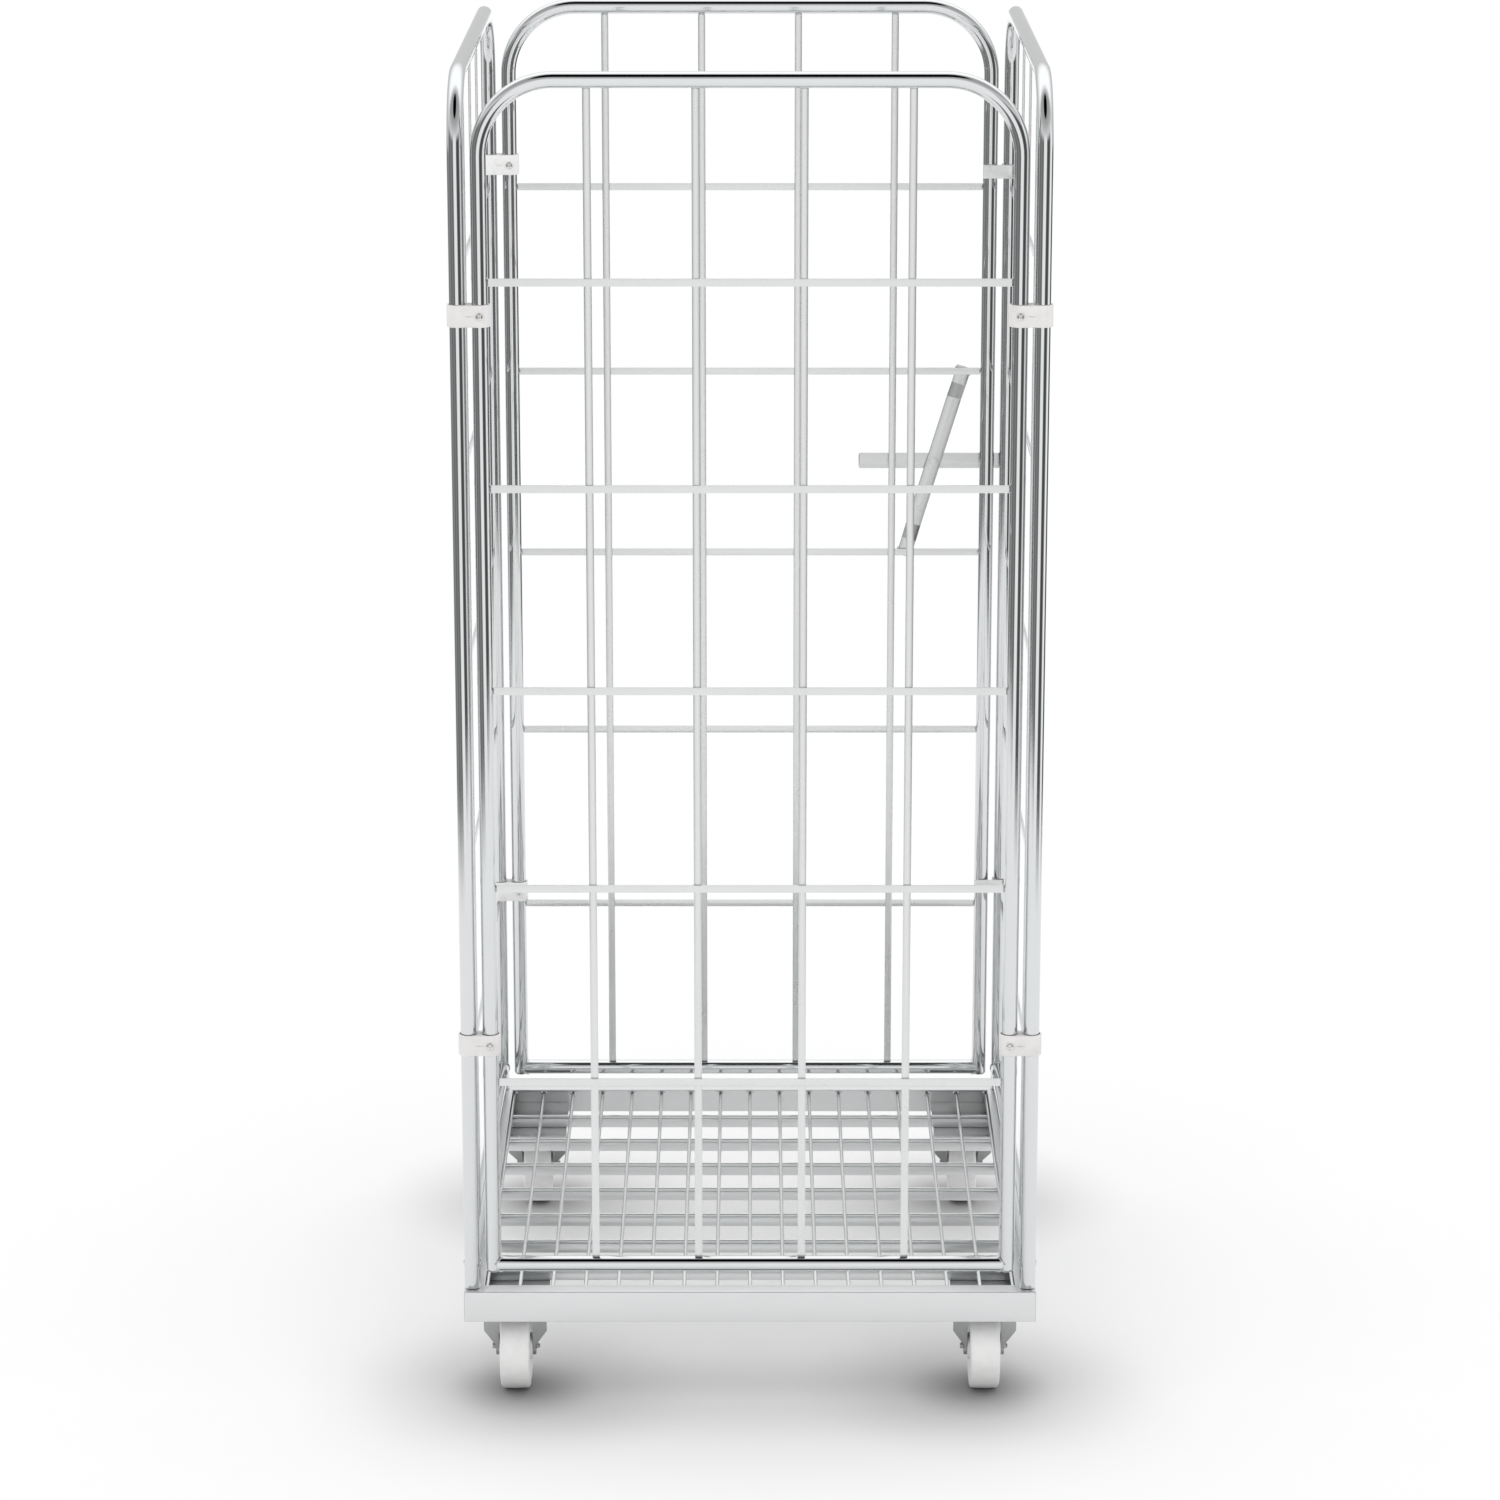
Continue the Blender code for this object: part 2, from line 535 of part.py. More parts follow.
def leg(side, top_z, top_y):
    """One side of a fork or bracket: a channel whose edges flare out to ears, its foot at the axle."""
    inner, outer = LEG_GAP / 2, LEG_GAP / 2 + LEG_THICK
    rows = []
    for i in range(4):
        turn = math.pi / 2 * (0.2 + 0.8 * i / 3)
        reach = LEG_FOOT * math.sin(turn)
        rows.append((AXLE_Z - LEG_FOOT * math.cos(turn), -reach, reach))
    flare_z = AXLE_Z + LEG_PLAIN
    full_z = AXLE_Z + LEG_FULL
    for z in (flare_z, full_z, top_z):
        share = (z - AXLE_Z) / (top_z - AXLE_Z)
        depth = LEG_FOOT + (LEG_TOP_DEPTH / 2 - LEG_FOOT) * share
        rows.append((z, top_y * share - depth, top_y * share + depth))
    levels = []
    for z, y0, y1 in rows:
        lip = LEG_LIP + LEG_FLARE * min(max((z - flare_z) / (full_z - flare_z), 0.0), 1.0)
        wall = min(LEG_THICK, (y1 - y0) / 3)
        channel = [(inner, y0), (outer + lip, y0), (outer + lip, y0 + wall), (outer, y0 + wall),
                   (outer, y1 - wall), (outer + lip, y1 - wall), (outer + lip, y1), (inner, y1)]
        levels.append((z, [(side * x, y) for x, y in channel]))
    return stack(levels)


def axle_hole():
    """The axle's hole through both legs."""
    radius = (AXLE_RADIUS + CLEAR) / math.cos(math.pi / 12)
    return rod((-0.06, 0, AXLE_Z), (0.06, 0, AXLE_Z), radius, 12)


def castor_plate(side, end, centre_y):
    """A corner plate that fits between a side rail and an end rail, about the castor's middle."""
    outer = BASE_WIDTH / 2 - RAIL_WALL - CLEAR - WHEEL_X
    x = sorted((-side * PLATE_INNER, side * outer))
    y = sorted(end * (BASE_DEPTH / 2 - inset) - centre_y for inset in (RAIL_WALL + CLEAR, PLATE_REACH))
    return box((x[0], y[0], PLATE_BOTTOM), (x[1], y[1], PLATE_TOP))


def wheel(name, finish):
    """A plastic wheel about X with a crowned tread, a sunk web and a wider hub."""
    tread, width, hub, bore = WHEEL_RADIUS, WHEEL_WIDTH / 2, HUB_WIDTH / 2, AXLE_RADIUS + CLEAR
    rim, web = tread * 0.78, width * 0.55
    outside = [(hub, bore), (hub, HUB_RADIUS), (web, HUB_RADIUS + 0.002), (web, rim - 0.003), (width, rim),
               (width, tread - 0.004), (width * 0.62, tread)]
    profile = [(r, x) for x, r in outside] + [(r, -x) for x, r in reversed(outside)]
    return solid(name, turned(profile, 20, "X"), finish)


def axle(name, finish):
    """A bolt along X with a hexagon at each end, outside the legs."""
    seat = LEG_GAP / 2 + LEG_THICK + CLEAR
    shank = rod((-seat - AXLE_NUT / 2, 0, 0), (seat + AXLE_NUT / 2, 0, 0), AXLE_RADIUS, 12)
    ends = [rod((s * seat, 0, 0), (s * (seat + AXLE_NUT), 0, 0), AXLE_HEX, 6) for s in (-1, 1)]
    return shaped(name, [shank] + ends, [], finish)


def make_fixed_castor(word, side, finishes):
    """A rigid castor: one bracket, a wheel and its axle."""
    place = (side * WHEEL_X, -AXLE_Y, 0)
    legs = [leg(s, PLATE_BOTTOM + BITE, 0.0) for s in (-1, 1)]
    bracket = shaped(f"fixed_castor_bracket_{word}", [castor_plate(side, -1, -AXLE_Y)] + legs, [axle_hole()],
                     finishes["zinc_castor"])
    put(bracket, place)
    spin = pivot(f"front_wheel_spin_{word}", (side * WHEEL_X, -AXLE_Y, AXLE_Z))
    put(wheel(f"front_wheel_{word}", finishes["wheel_plastic"]), spin.location, 0, spin)
    put(axle(f"front_axle_{word}", finishes["bolt_steel"]), spin.location)


def make_swivel_castor(word, side, finishes):
    """A swivel castor: a top plate, a fork under its race, a kingpin, a wheel and its axle."""
    centre = Vector((side * WHEEL_X, SWIVEL_Y, 0))
    bore = (KINGPIN_RADIUS + CLEAR) / math.cos(math.pi / 16)
    plate_hole = rod((0, 0, PLATE_BOTTOM - 0.01), (0, 0, PLATE_TOP + 0.01), bore, 16)
    put(shaped(f"swivel_plate_{word}", [castor_plate(side, 1, SWIVEL_Y)],
               [plate_hole], finishes["zinc_castor"]), centre)

    swivel = pivot(f"swivel_{word}", centre)
    legs = [leg(s, CROWN_BOTTOM + BITE, -SWIVEL_OFFSET) for s in (-1, 1)]
    for shape in legs:
        bmesh.ops.translate(shape, vec=(0, SWIVEL_OFFSET, 0), verts=shape.verts)
    crown_half = LEG_GAP / 2 + LEG_THICK + LEG_LIP + LEG_FLARE
    crown = box((-crown_half, -LEG_TOP_DEPTH / 2, CROWN_BOTTOM), (crown_half, LEG_TOP_DEPTH / 2,
                                                                  CROWN_BOTTOM + CROWN_THICK))
    race = rod((0, 0, CROWN_BOTTOM + CROWN_THICK / 2), (0, 0, RACE_TOP), RACE_RADIUS, 24)
    hole = axle_hole()
    bmesh.ops.translate(hole, vec=(0, SWIVEL_OFFSET, 0), verts=hole.verts)
    pin_hole = rod((0, 0, CROWN_BOTTOM - 0.01), (0, 0, RACE_TOP + 0.01), bore, 16)
    fork = shaped(f"swivel_fork_{word}", [crown, race] + legs, [hole, pin_hole], finishes["zinc_castor"])
    put(fork, centre, 0, swivel)

    low, high = CROWN_BOTTOM - CLEAR, PLATE_TOP + CLEAR
    profile = [(0, low - KINGPIN_HEAD_HEIGHT), (KINGPIN_HEAD, low - KINGPIN_HEAD_HEIGHT), (KINGPIN_HEAD, low),
               (KINGPIN_RADIUS, low), (KINGPIN_RADIUS, high), (KINGPIN_HEAD, high),
               (KINGPIN_HEAD, high + KINGPIN_HEAD_HEIGHT), (0, high + KINGPIN_HEAD_HEIGHT)]
    put(solid(f"kingpin_{word}", turned(profile, 16), finishes["bolt_steel"]), centre)

    hub = centre + Vector((0, SWIVEL_OFFSET, AXLE_Z))
    spin = pivot(f"rear_wheel_spin_{word}", hub)
    put(wheel(f"rear_wheel_{word}", finishes["wheel_plastic"]), hub, 0, spin)
    put(spin, hub, 0, swivel)
    put(axle(f"rear_axle_{word}", finishes["bolt_steel"]), hub, 0, swivel)


def build_cage():
    """Every piece of the cage."""
    for item in list(bpy.data.objects):
        bpy.data.objects.remove(item)
    finishes = make_finishes()
    make_base(finishes)
    post_foot = BASE_TOP + CLEAR
    wall_foot = BASE_TOP + WALL_LIFT
    wall("left_wall", POST_Y, post_foot, (-POST_X, 0, 0), math.pi / 2, finishes)
    wall("right_wall", POST_Y, post_foot, (POST_X, 0, 0), -math.pi / 2, finishes)
    wall("front_wall", END_POST_X, wall_foot, (0, -POST_Y, 0), math.pi, finishes)
    hinge = pivot("door_hinge", (-POST_X, POST_Y, 0))
    wall("door", END_POST_X, wall_foot, (0, POST_Y, 0), 0, finishes, hinge)
    make_clips(finishes, hinge)
    make_stops(finishes)
    make_latch(finishes, hinge)
    make_keeper(finishes)
    for word, side in (("left", -1), ("right", 1)):
        make_fixed_castor(word, side, finishes)
        make_swivel_castor(word, side, finishes)
    for piece in bpy.data.objects:
        if piece.type == "MESH":
            piece.data.shade_smooth()
            piece.data.set_sharp_from_angle(angle=math.radians(40))


build_cage()
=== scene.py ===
"""The looks of a mesh roll cage on four castors: bent tube walls, flat bar grids, a wire deck and a latch.

Metres, +Z up, origin on the floor under the middle of the base, +Y towards the door.
"""

import json
import math

import bmesh
import bpy
import numpy as np
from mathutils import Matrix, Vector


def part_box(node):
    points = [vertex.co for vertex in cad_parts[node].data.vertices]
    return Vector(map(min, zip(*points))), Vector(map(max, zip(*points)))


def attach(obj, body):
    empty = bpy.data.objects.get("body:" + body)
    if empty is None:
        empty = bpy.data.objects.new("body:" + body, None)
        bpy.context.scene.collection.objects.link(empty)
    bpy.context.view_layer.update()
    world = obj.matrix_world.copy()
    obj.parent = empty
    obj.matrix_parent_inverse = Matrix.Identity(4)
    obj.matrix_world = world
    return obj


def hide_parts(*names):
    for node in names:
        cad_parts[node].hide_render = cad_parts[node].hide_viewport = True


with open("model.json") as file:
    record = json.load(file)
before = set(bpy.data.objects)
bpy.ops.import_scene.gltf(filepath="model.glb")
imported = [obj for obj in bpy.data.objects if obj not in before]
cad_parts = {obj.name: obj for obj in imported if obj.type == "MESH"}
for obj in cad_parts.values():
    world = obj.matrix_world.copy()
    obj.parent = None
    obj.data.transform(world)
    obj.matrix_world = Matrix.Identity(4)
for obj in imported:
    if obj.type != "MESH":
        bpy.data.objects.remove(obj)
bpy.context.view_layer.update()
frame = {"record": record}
scene = bpy.context.scene

# Camera. It stands six metres in front of the cage, a head higher than its top rails, and looks
# down on it through a long lens, so the uprights stay almost parallel.
CAMERA_PLACE = (0.0, -6.119, 2.405)
CAMERA_TILT = math.radians(15.144)
lens = bpy.data.cameras.new("camera")
lens.sensor_width = 36.0
lens.lens = 116.48
camera = bpy.data.objects.new("camera", lens)
camera.location = CAMERA_PLACE
camera.rotation_euler = (math.pi / 2 - CAMERA_TILT, 0.0, 0.0)
scene.collection.objects.link(camera)
scene.camera = camera
scene.view_settings.view_transform = "Standard"


# Studio. A white room with a round sweep of pale floor that fades out, softly lit from all round.
# The floor's colour holds painted shade under the front of the base and round the wheels' rest places.
# Bright metal sees a dark opening in the ceiling and some dark wall panels, which draw its lines.
class Signal:
    """A socket in a node tree. Arithmetic on it adds Math nodes, and node() adds any other node."""

    def __init__(self, tree, socket=None):
        self.tree = tree
        self.socket = socket

    def node(self, kind, settings, inputs, output=0):
        """Add a node: its settings first, a ramp's stops among them, then its inputs' values or links."""
        made = self.tree.nodes.new("ShaderNode" + kind)
        for name, value in settings.items():
            if name == "stops":
                self.set_stops(made.color_ramp.elements, value)
            else:
                setattr(made, name, value)
        for name, value in inputs.items():
            if isinstance(value, Signal):
                self.tree.links.new(value.socket, made.inputs[name])
            else:
                made.inputs[name].default_value = value
        return Signal(self.tree, made.outputs[output])

    def set_stops(self, elements, stops):
        """Give a ramp its (position, grey) stops."""
        while len(elements) < len(stops):
            elements.new(1.0)
        for element, (position, grey) in zip(elements, stops):
            element.position = position
            element.color = (grey, grey, grey, 1.0)

    def math(self, operation, a, b=0.0, c=0.0):
        return self.node("Math", {"operation": operation}, {0: a, 1: b, 2: c})

    def __add__(self, other):
        return self.math("ADD", self, other)

    __radd__ = __add__

    def __mul__(self, other):
        return self.math("MULTIPLY", self, other)

    __rmul__ = __mul__

    def __sub__(self, other):
        return self.math("SUBTRACT", self, other)

    def __rsub__(self, other):
        return self.math("SUBTRACT", other, self)

    def step(self, low, high):
        """0 below low, 1 above high, and a smooth rise between them."""
        inputs = {"Value": self, "From Min": low, "From Max": high}
        return self.node("MapRange", {"interpolation_type": "SMOOTHSTEP"}, inputs)

    def blend(self, a, b):
        """The number a where this is 0, and b where it is 1."""
        return a + self * (b - a)

    def tint(self, a, b):
        """The colour a where this is 0, and b where it is 1."""
        return self.node("Mix", {"data_type": "RGBA"}, {0: self, 6: (*a, 1.0), 7: (*b, 1.0)}, 2)

    def noise(self, size, detail=2.0, roughness=0.5):
        """Noise over this vector, with lumps of about that size in metres."""
        inputs = {"Vector": self, "Scale": 1.0 / size, "Detail": detail, "Roughness": roughness}
        return self.node("TexNoise", {}, inputs)

    def stretched(self, x, y, z=1.0):
        """This vector with each of its axes multiplied."""
        return self.node("VectorMath", {"operation": "MULTIPLY"}, {0: self, 1: (x, y, z)})


SOFT_LIGHT = 1.24             # what matt surfaces get from the room
PANEL_ANGLES = [              # degrees to the right of the camera, and how bright the wall is there
    (-180, 1.12), (-152, 1.15), (-140, 0.40), (-112, 0.20), (-92, 0.34), (-74, 0.16), (-52, 0.27),
    (-30, 0.15), (-24, 0.20), (-17, 1.04), (16, 1.06), (24, 0.14), (44, 0.07), (62, 0.14), (73, 0.85),
    (86, 1.35), (100, 0.90), (110, 0.14), (126, 0.09), (141, 0.16), (152, 1.15), (180, 1.12)]
HOLE_DIRECTION = (0.0, -0.446, 0.895)
WALL_PEAK = 1.5               # brightest wall that the ramp can hold
world = bpy.data.worlds.new("studio")
world.use_nodes = True
world.cycles.sampling_method = "NONE"
scene.world = world
room = Signal(world.node_tree)
looking = room.node("TexCoord", {}, {}, "Generated")
to_right = room.node("SeparateXYZ", {}, {0: looking}, "X")
to_front = -1.0 * room.node("SeparateXYZ", {}, {0: looking}, "Y")
upwards = room.node("SeparateXYZ", {}, {0: looking}, "Z")
bearing = room.math("ARCTAN2", to_right, to_front) * (0.5 / math.pi) + 0.5
stops = [(angle / 360 + 0.5, bright / WALL_PEAK) for angle, bright in PANEL_ANGLES]
walls = WALL_PEAK * room.node("ValToRGB", {"stops": stops}, {"Fac": bearing})
behind = 1.0 - to_front.step(-0.25, 0.15)
front_sky = upwards.step(0.10, 0.70).blend(1.05, 0.45)
back_sky = upwards.step(0.10, 0.75).blend(0.66, 1.35)
above_walls = behind.blend(upwards.step(0.16, 0.40), upwards.step(-0.13, -0.03))
toward_hole = {0: looking, 1: HOLE_DIRECTION}
hole_nearness = room.node("VectorMath", {"operation": "DOT_PRODUCT"}, toward_hole, "Value")
ceiling_hole = hole_nearness.step(0.925, 0.962)
seen_by_metal = above_walls.blend(walls, behind.blend(front_sky, back_sky)) * (1.0 - ceiling_hole)
seen = room.node("LightPath", {}, {}, "Is Camera Ray")
mirrored = room.node("LightPath", {}, {}, "Is Glossy Ray")
strength = seen.blend(mirrored.blend(SOFT_LIGHT, seen_by_metal), 1.0)
world.node_tree.links.new(strength.socket, world.node_tree.nodes["Background"].inputs["Strength"])
world.node_tree.nodes["Background"].inputs["Color"].default_value = (1.0, 1.0, 1.0, 1.0)


def disc(radius, sides, rings):
    """A flat round sheet: P(i, j) = r(i) (cos j, sin j, 0), with the radii evenly spaced."""
    radii = np.linspace(0.0, radius, rings)[:, None]
    turn = np.linspace(0.0, 2 * math.pi, sides, endpoint=False)[None, :]
    return np.stack([radii * np.cos(turn), radii * np.sin(turn), 0.0 * radii * turn], -1)


FLOOR_FADE = (1.90, 2.70)     # where the sweep of floor starts to fade, and where it has gone
FLOOR_DROP = 0.0004           # keeps the floor clear of the wheels' lowest points
FLOOR_WHITE = (0.83, 0.83, 0.83)
# Painted shade on the floor: a soft box under the front of the base, and a pool round each wheel.
SHADE_MIDDLE = (0.0, -0.38, 0.0)
SHADE_HALF = (0.28, 0.03, 1.0)
WHEEL_SHADE_SPOT = (0.290, 0.352, 0.0)
floor_points = disc(FLOOR_FADE[1], 96, 12)
rows, columns = floor_points.shape[:2]
first = (np.arange(rows - 1)[:, None] * columns + np.arange(columns)).ravel()
second = (np.arange(rows - 1)[:, None] * columns + (np.arange(columns) + 1) % columns).ravel()
floor_mesh = bpy.data.meshes.new("floor")
floor_mesh.from_pydata(floor_points.reshape(-1, 3).tolist(), [],
                       np.stack([first, first + columns, second + columns, second], 1).tolist())
floor = bpy.data.objects.new("floor", floor_mesh)
floor.location = (0.0, 0.0, -FLOOR_DROP)
scene.collection.objects.link(floor)
floor_paint = bpy.data.materials.new("floor_paint")
floor_paint.use_nodes = True
floor_nodes = Signal(floor_paint.node_tree)
place = floor_nodes.node("TexCoord", {}, {}, "Object")
from_middle = floor_nodes.node("VectorMath", {"operation": "LENGTH"}, {0: place}, "Value")
away = floor_nodes.node("VectorMath", {"operation": "SUBTRACT"}, {0: place, 1: SHADE_MIDDLE})
away = floor_nodes.node("VectorMath", {"operation": "ABSOLUTE"}, {0: away})
away = floor_nodes.node("VectorMath", {"operation": "SUBTRACT"}, {0: away, 1: SHADE_HALF})
away = floor_nodes.node("VectorMath", {"operation": "MAXIMUM"}, {0: away, 1: (0.0, 0.0, 0.0)})
away = floor_nodes.node("VectorMath", {"operation": "LENGTH"}, {0: away}, "Value")
wheel_shade_distance = floor_nodes.node("VectorMath", {"operation": "ABSOLUTE"}, {0: place})
wheel_shade_distance = floor_nodes.node("VectorMath", {"operation": "DISTANCE"}, {0: wheel_shade_distance, 1: WHEEL_SHADE_SPOT}, "Value")
# Painted shade: the floor's colour darkens near the base's front and near where each wheel rests, and stays
# put when a castor swivels.
painted_floor_shade = 0.78 + 0.12 * away.step(0.0, 0.14) + 0.10 * away.step(0.0, 0.36)
painted_floor_shade = painted_floor_shade * (0.42 + 0.38 * wheel_shade_distance.step(0.0, 0.11) + 0.20 * wheel_shade_distance.step(0.03, 0.26))
matt = floor_nodes.node("BsdfDiffuse", {}, {"Color": painted_floor_shade.tint((0.0, 0.0, 0.0), FLOOR_WHITE)})
gone = floor_nodes.node("BsdfTransparent", {}, {})
faded = floor_nodes.node("MixShader", {}, {0: from_middle.step(*FLOOR_FADE), 1: matt, 2: gone})
floor_output = floor_paint.node_tree.nodes["Material Output"]
floor_paint.node_tree.links.new(faded.socket, floor_output.inputs["Surface"])
floor_mesh.materials.append(floor_paint)


# Wall frames. Each wall is a bright zinc plated steel tube, bent to a wide inverted U, with a
# second tube coped between its posts and welded round. The side walls' feet stand on the base.
TUBE = 0.010                  # radius
TUBE_BEND = 0.090
ROUND = 48                    # facets round a tube
ZENITH = (0.0, 0.0, 1.0)
SHARP = math.radians(38)      # edges that turn by more than this stay sharp


def circle(radius, sides):
    """A round outline: x = r cos t, y = r sin t."""
    turn = np.linspace(0.0, 2 * math.pi, sides, endpoint=False)
    return radius * np.stack([np.cos(turn), np.sin(turn)], 1)


def route(corners, bend, steps):
    """A path along straight runs whose corners are arcs. With the two runs' directions a and b at a
    corner and w the angle that the path turns by, an arc point is the arc's centre plus the blend
    (sin((1 - s) w) first + sin(s w) last) / sin w of its first and last radii."""
    corners = np.asarray(corners, float)
    bends = np.broadcast_to(bend, (len(corners),))
    path = [corners[:1]]
    share = np.linspace(0.0, 1.0, steps + 1)[:, None]
    for before, corner, after, radius in zip(corners, corners[1:], corners[2:], bends[1:]):
        back = (before - corner) / np.linalg.norm(before - corner)
        ahead = (after - corner) / np.linalg.norm(after - corner)
        half = math.acos(np.clip(back @ ahead, -1.0, 1.0)) / 2
        if radius == 0.0 or half > 1.57:
            path.append(corner[None])
            continue
        centre = corner + (back + ahead) / np.linalg.norm(back + ahead) * radius / math.sin(half)
        start = corner + back * radius / math.tan(half) - centre
        stop = corner + ahead * radius / math.tan(half) - centre
        turn = math.pi - 2 * half
        arc = (np.sin((1 - share) * turn) * start + np.sin(share * turn) * stop) / math.sin(turn)
        path.append(centre + arc)
    path.append(corners[-1:])
    return np.concatenate(path)


def eased(path, reach, sink):
    """The path with rows added near both ends, and each row's scale: an end's edge is a quarter
    circle, so at reach (1 - cos t) from the end the scale has dropped by sink (1 - sin t)."""
    turn = np.linspace(0.0, math.pi / 2, 4)[:-1]
    inset = (reach * (1 - np.cos(turn)))[:, None]
    scale = 1 - sink * (1 - np.sin(turn))
    head = (path[1] - path[0]) / np.linalg.norm(path[1] - path[0])
    tail = (path[-2] - path[-1]) / np.linalg.norm(path[-2] - path[-1])
    rows = [path[0] + inset * head, path[:1] + reach * head, path[1:-1],
            path[-1:] + reach * tail, (path[-1] + inset * tail)[::-1]]
    return np.concatenate(rows), np.concatenate([scale, np.ones(len(path)), scale[::-1]])


def carried(path, outline, across, scale=1.0):
    """An outline carried along a path: P(i, j) = path(i) + s(i) (x(j) across + y(j) up(i)), where up
    is square to both across and the path's direction."""
    run = np.gradient(path, axis=0)
    run /= np.linalg.norm(run, axis=1, keepdims=True)
    up = np.cross(run, across)
    up /= np.linalg.norm(up, axis=1, keepdims=True)
    size = np.broadcast_to(scale, (len(path),))[:, None, None]
    flat = outline[None, :, :1] * np.asarray(across, float) + outline[None, :, 1:] * up[:, None]
    return path[:, None] + size * flat


def skin(points, ends="capped"):
    """Quads over a grid whose columns close on themselves. Its two end rows are capped, or joined to
    each other. A corner's UV is how far it is round its row and along the rows, in metres."""
    rows, columns = points.shape[:2]
    grid = np.concatenate([points, points[:1]]) if ends == "joined" else points
    steps_round = np.linalg.norm(np.roll(grid, -1, axis=1) - grid, axis=2).max(0)
    steps_along = np.linalg.norm(np.diff(grid, axis=0), axis=2).max(1)
    u = np.concatenate([[0.0], np.cumsum(steps_round)])
    v = np.concatenate([[0.0], np.cumsum(steps_along)])
    count = len(grid) - 1
    i, j = (a.ravel() for a in np.meshgrid(np.arange(count), np.arange(columns), indexing="ij"))
    up, right = (i + 1) % rows, (j + 1) % columns
    quads = np.stack([i * columns + j, i * columns + right, up * columns + right, up * columns + j], 1)
    uv = np.stack([np.stack([u[j], v[i]], 1), np.stack([u[j + 1], v[i]], 1),
                   np.stack([u[j + 1], v[i + 1]], 1), np.stack([u[j], v[i + 1]], 1)], 1)
    faces, corners = quads.tolist(), [uv.reshape(-1, 2)]
    if ends == "capped":
        faces += [np.arange(columns).tolist(), (np.arange(columns) + (rows - 1) * columns).tolist()]
        corners.append(np.zeros((2 * columns, 2)))
    return points.reshape(-1, 3), faces, np.concatenate(corners)


def piece(name, skins, finish, nodes=(), body=None, edge=0.0):
    """One object from several closed skins. It rides with the CAD nodes that it stands for. Edge is
    the width that a Bevel modifier takes off its corners."""
    starts = np.cumsum([0] + [len(s[0]) for s in skins])
    faces = [[k + int(start) for k in face] for s, start in zip(skins, starts) for face in s[1]]
    mesh = bpy.data.meshes.new(name)
    mesh.from_pydata(np.concatenate([s[0] for s in skins]).tolist(), [], faces)
    mesh.uv_layers.new(name="lengths")
    uv = np.concatenate([s[2] for s in skins])
    mesh.uv_layers["lengths"].data.foreach_set("uv", uv.astype(np.float32).ravel())
    bm = bmesh.new()
    bm.from_mesh(mesh)
    bmesh.ops.remove_doubles(bm, verts=bm.verts, dist=1e-6)
    bmesh.ops.recalc_face_normals(bm, faces=bm.faces)
    bm.to_mesh(mesh)
    bm.free()
    mesh.shade_smooth()
    mesh.set_sharp_from_angle(angle=SHARP)
    mesh.materials.append(finish)
    made = bpy.data.objects.new(name, mesh)
    scene.collection.objects.link(made)
    if edge > 0.0:
        bevel = made.modifiers.new("edge", "BEVEL")
        bevel.width = edge
        bevel.segments = 2
        bevel.angle_limit = SHARP
        bevel.harden_normals = True
    bodies = frame["record"]["behaviour"]["bodies"]
    homes = [home for home, members in bodies.items() if set(nodes) & set(members)]
    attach(made, body or homes[0])
    if nodes:
        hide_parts(*nodes)
    return made


def zinc(name, slot, dark, light, rough, mottle, bump):
    """Zinc plate on steel: long faint drawing lines, soft clouds in the passivated skin, a fine
    mottle, and a few dull handling marks. Rough is the lowest and highest roughness, mottle how much
    the marks darken, and bump the height of the relief."""
    finish = bpy.data.materials.new(name)
    finish["slot"] = slot
    finish.use_nodes = True
    shader = finish.node_tree.nodes["Principled BSDF"]
    shader.inputs["Metallic"].default_value = 1.0
    sheet = Signal(finish.node_tree)
    place = sheet.node("TexCoord", {}, {}, "Object")
    lengths = sheet.node("UVMap", {"uv_map": "lengths"}, {})
    lines = lengths.stretched(1.0, 0.02).noise(0.0006, 3.0)
    clouds = place.noise(0.070, 3.0, 0.6)
    grain = place.noise(0.0013, 3.0, 0.65)
    marks = place.noise(0.024, 4.0, 0.7).step(0.60, 0.72)
    shine = 0.45 * clouds + 0.35 * grain + 0.20 * lines
    colour = (shine * (1.0 - mottle * marks)).step(0.22, 0.74)
    roughness = (0.5 * clouds + 0.3 * grain + 0.2 * lines + 0.2 * marks).step(0.22, 0.86)
    relief = 0.6 * grain + 0.4 * lines
    links = finish.node_tree.links
    links.new(colour.tint(dark, light).socket, shader.inputs["Base Color"])
    links.new(roughness.blend(*rough).socket, shader.inputs["Roughness"])
    if bump > 0.0:
        normal = sheet.node("Bump", {}, {"Strength": 1.0, "Distance": bump, "Height": relief})
        links.new(normal.socket, shader.inputs["Normal"])
    return finish


def ball(centre, radii, rows=5, sides=8):
    """A low lump: P = centre + radii * (cos a cos t, cos a sin t, sin a)."""
    rise = np.linspace(-math.pi / 2, math.pi / 2, rows)[:, None]
    turn = np.linspace(0.0, 2 * math.pi, sides, endpoint=False)[None, :]
    unit = np.stack([np.cos(rise) * np.cos(turn), np.cos(rise) * np.sin(turn), np.sin(rise) + 0 * turn], -1)
    return skin(np.asarray(centre) + unit * np.asarray(radii), "open")


def coped(half_span, height):
    """A tube between two posts, its ends hollowed to fit them: at angle t round the tube its end is
    at x = span - sqrt(R R - y y), with y = R cos t."""
    outline = circle(TUBE, ROUND)
    end = half_span - np.sqrt(np.maximum(TUBE ** 2 - outline[:, 0] ** 2, 0.0)) - 0.0001
    share = np.linspace(-1.0, 1.0, 15)[:, None]
    x = share * end
    return np.stack([x, outline[:, 0] + 0 * x, outline[:, 1] + height + 0 * x], -1)


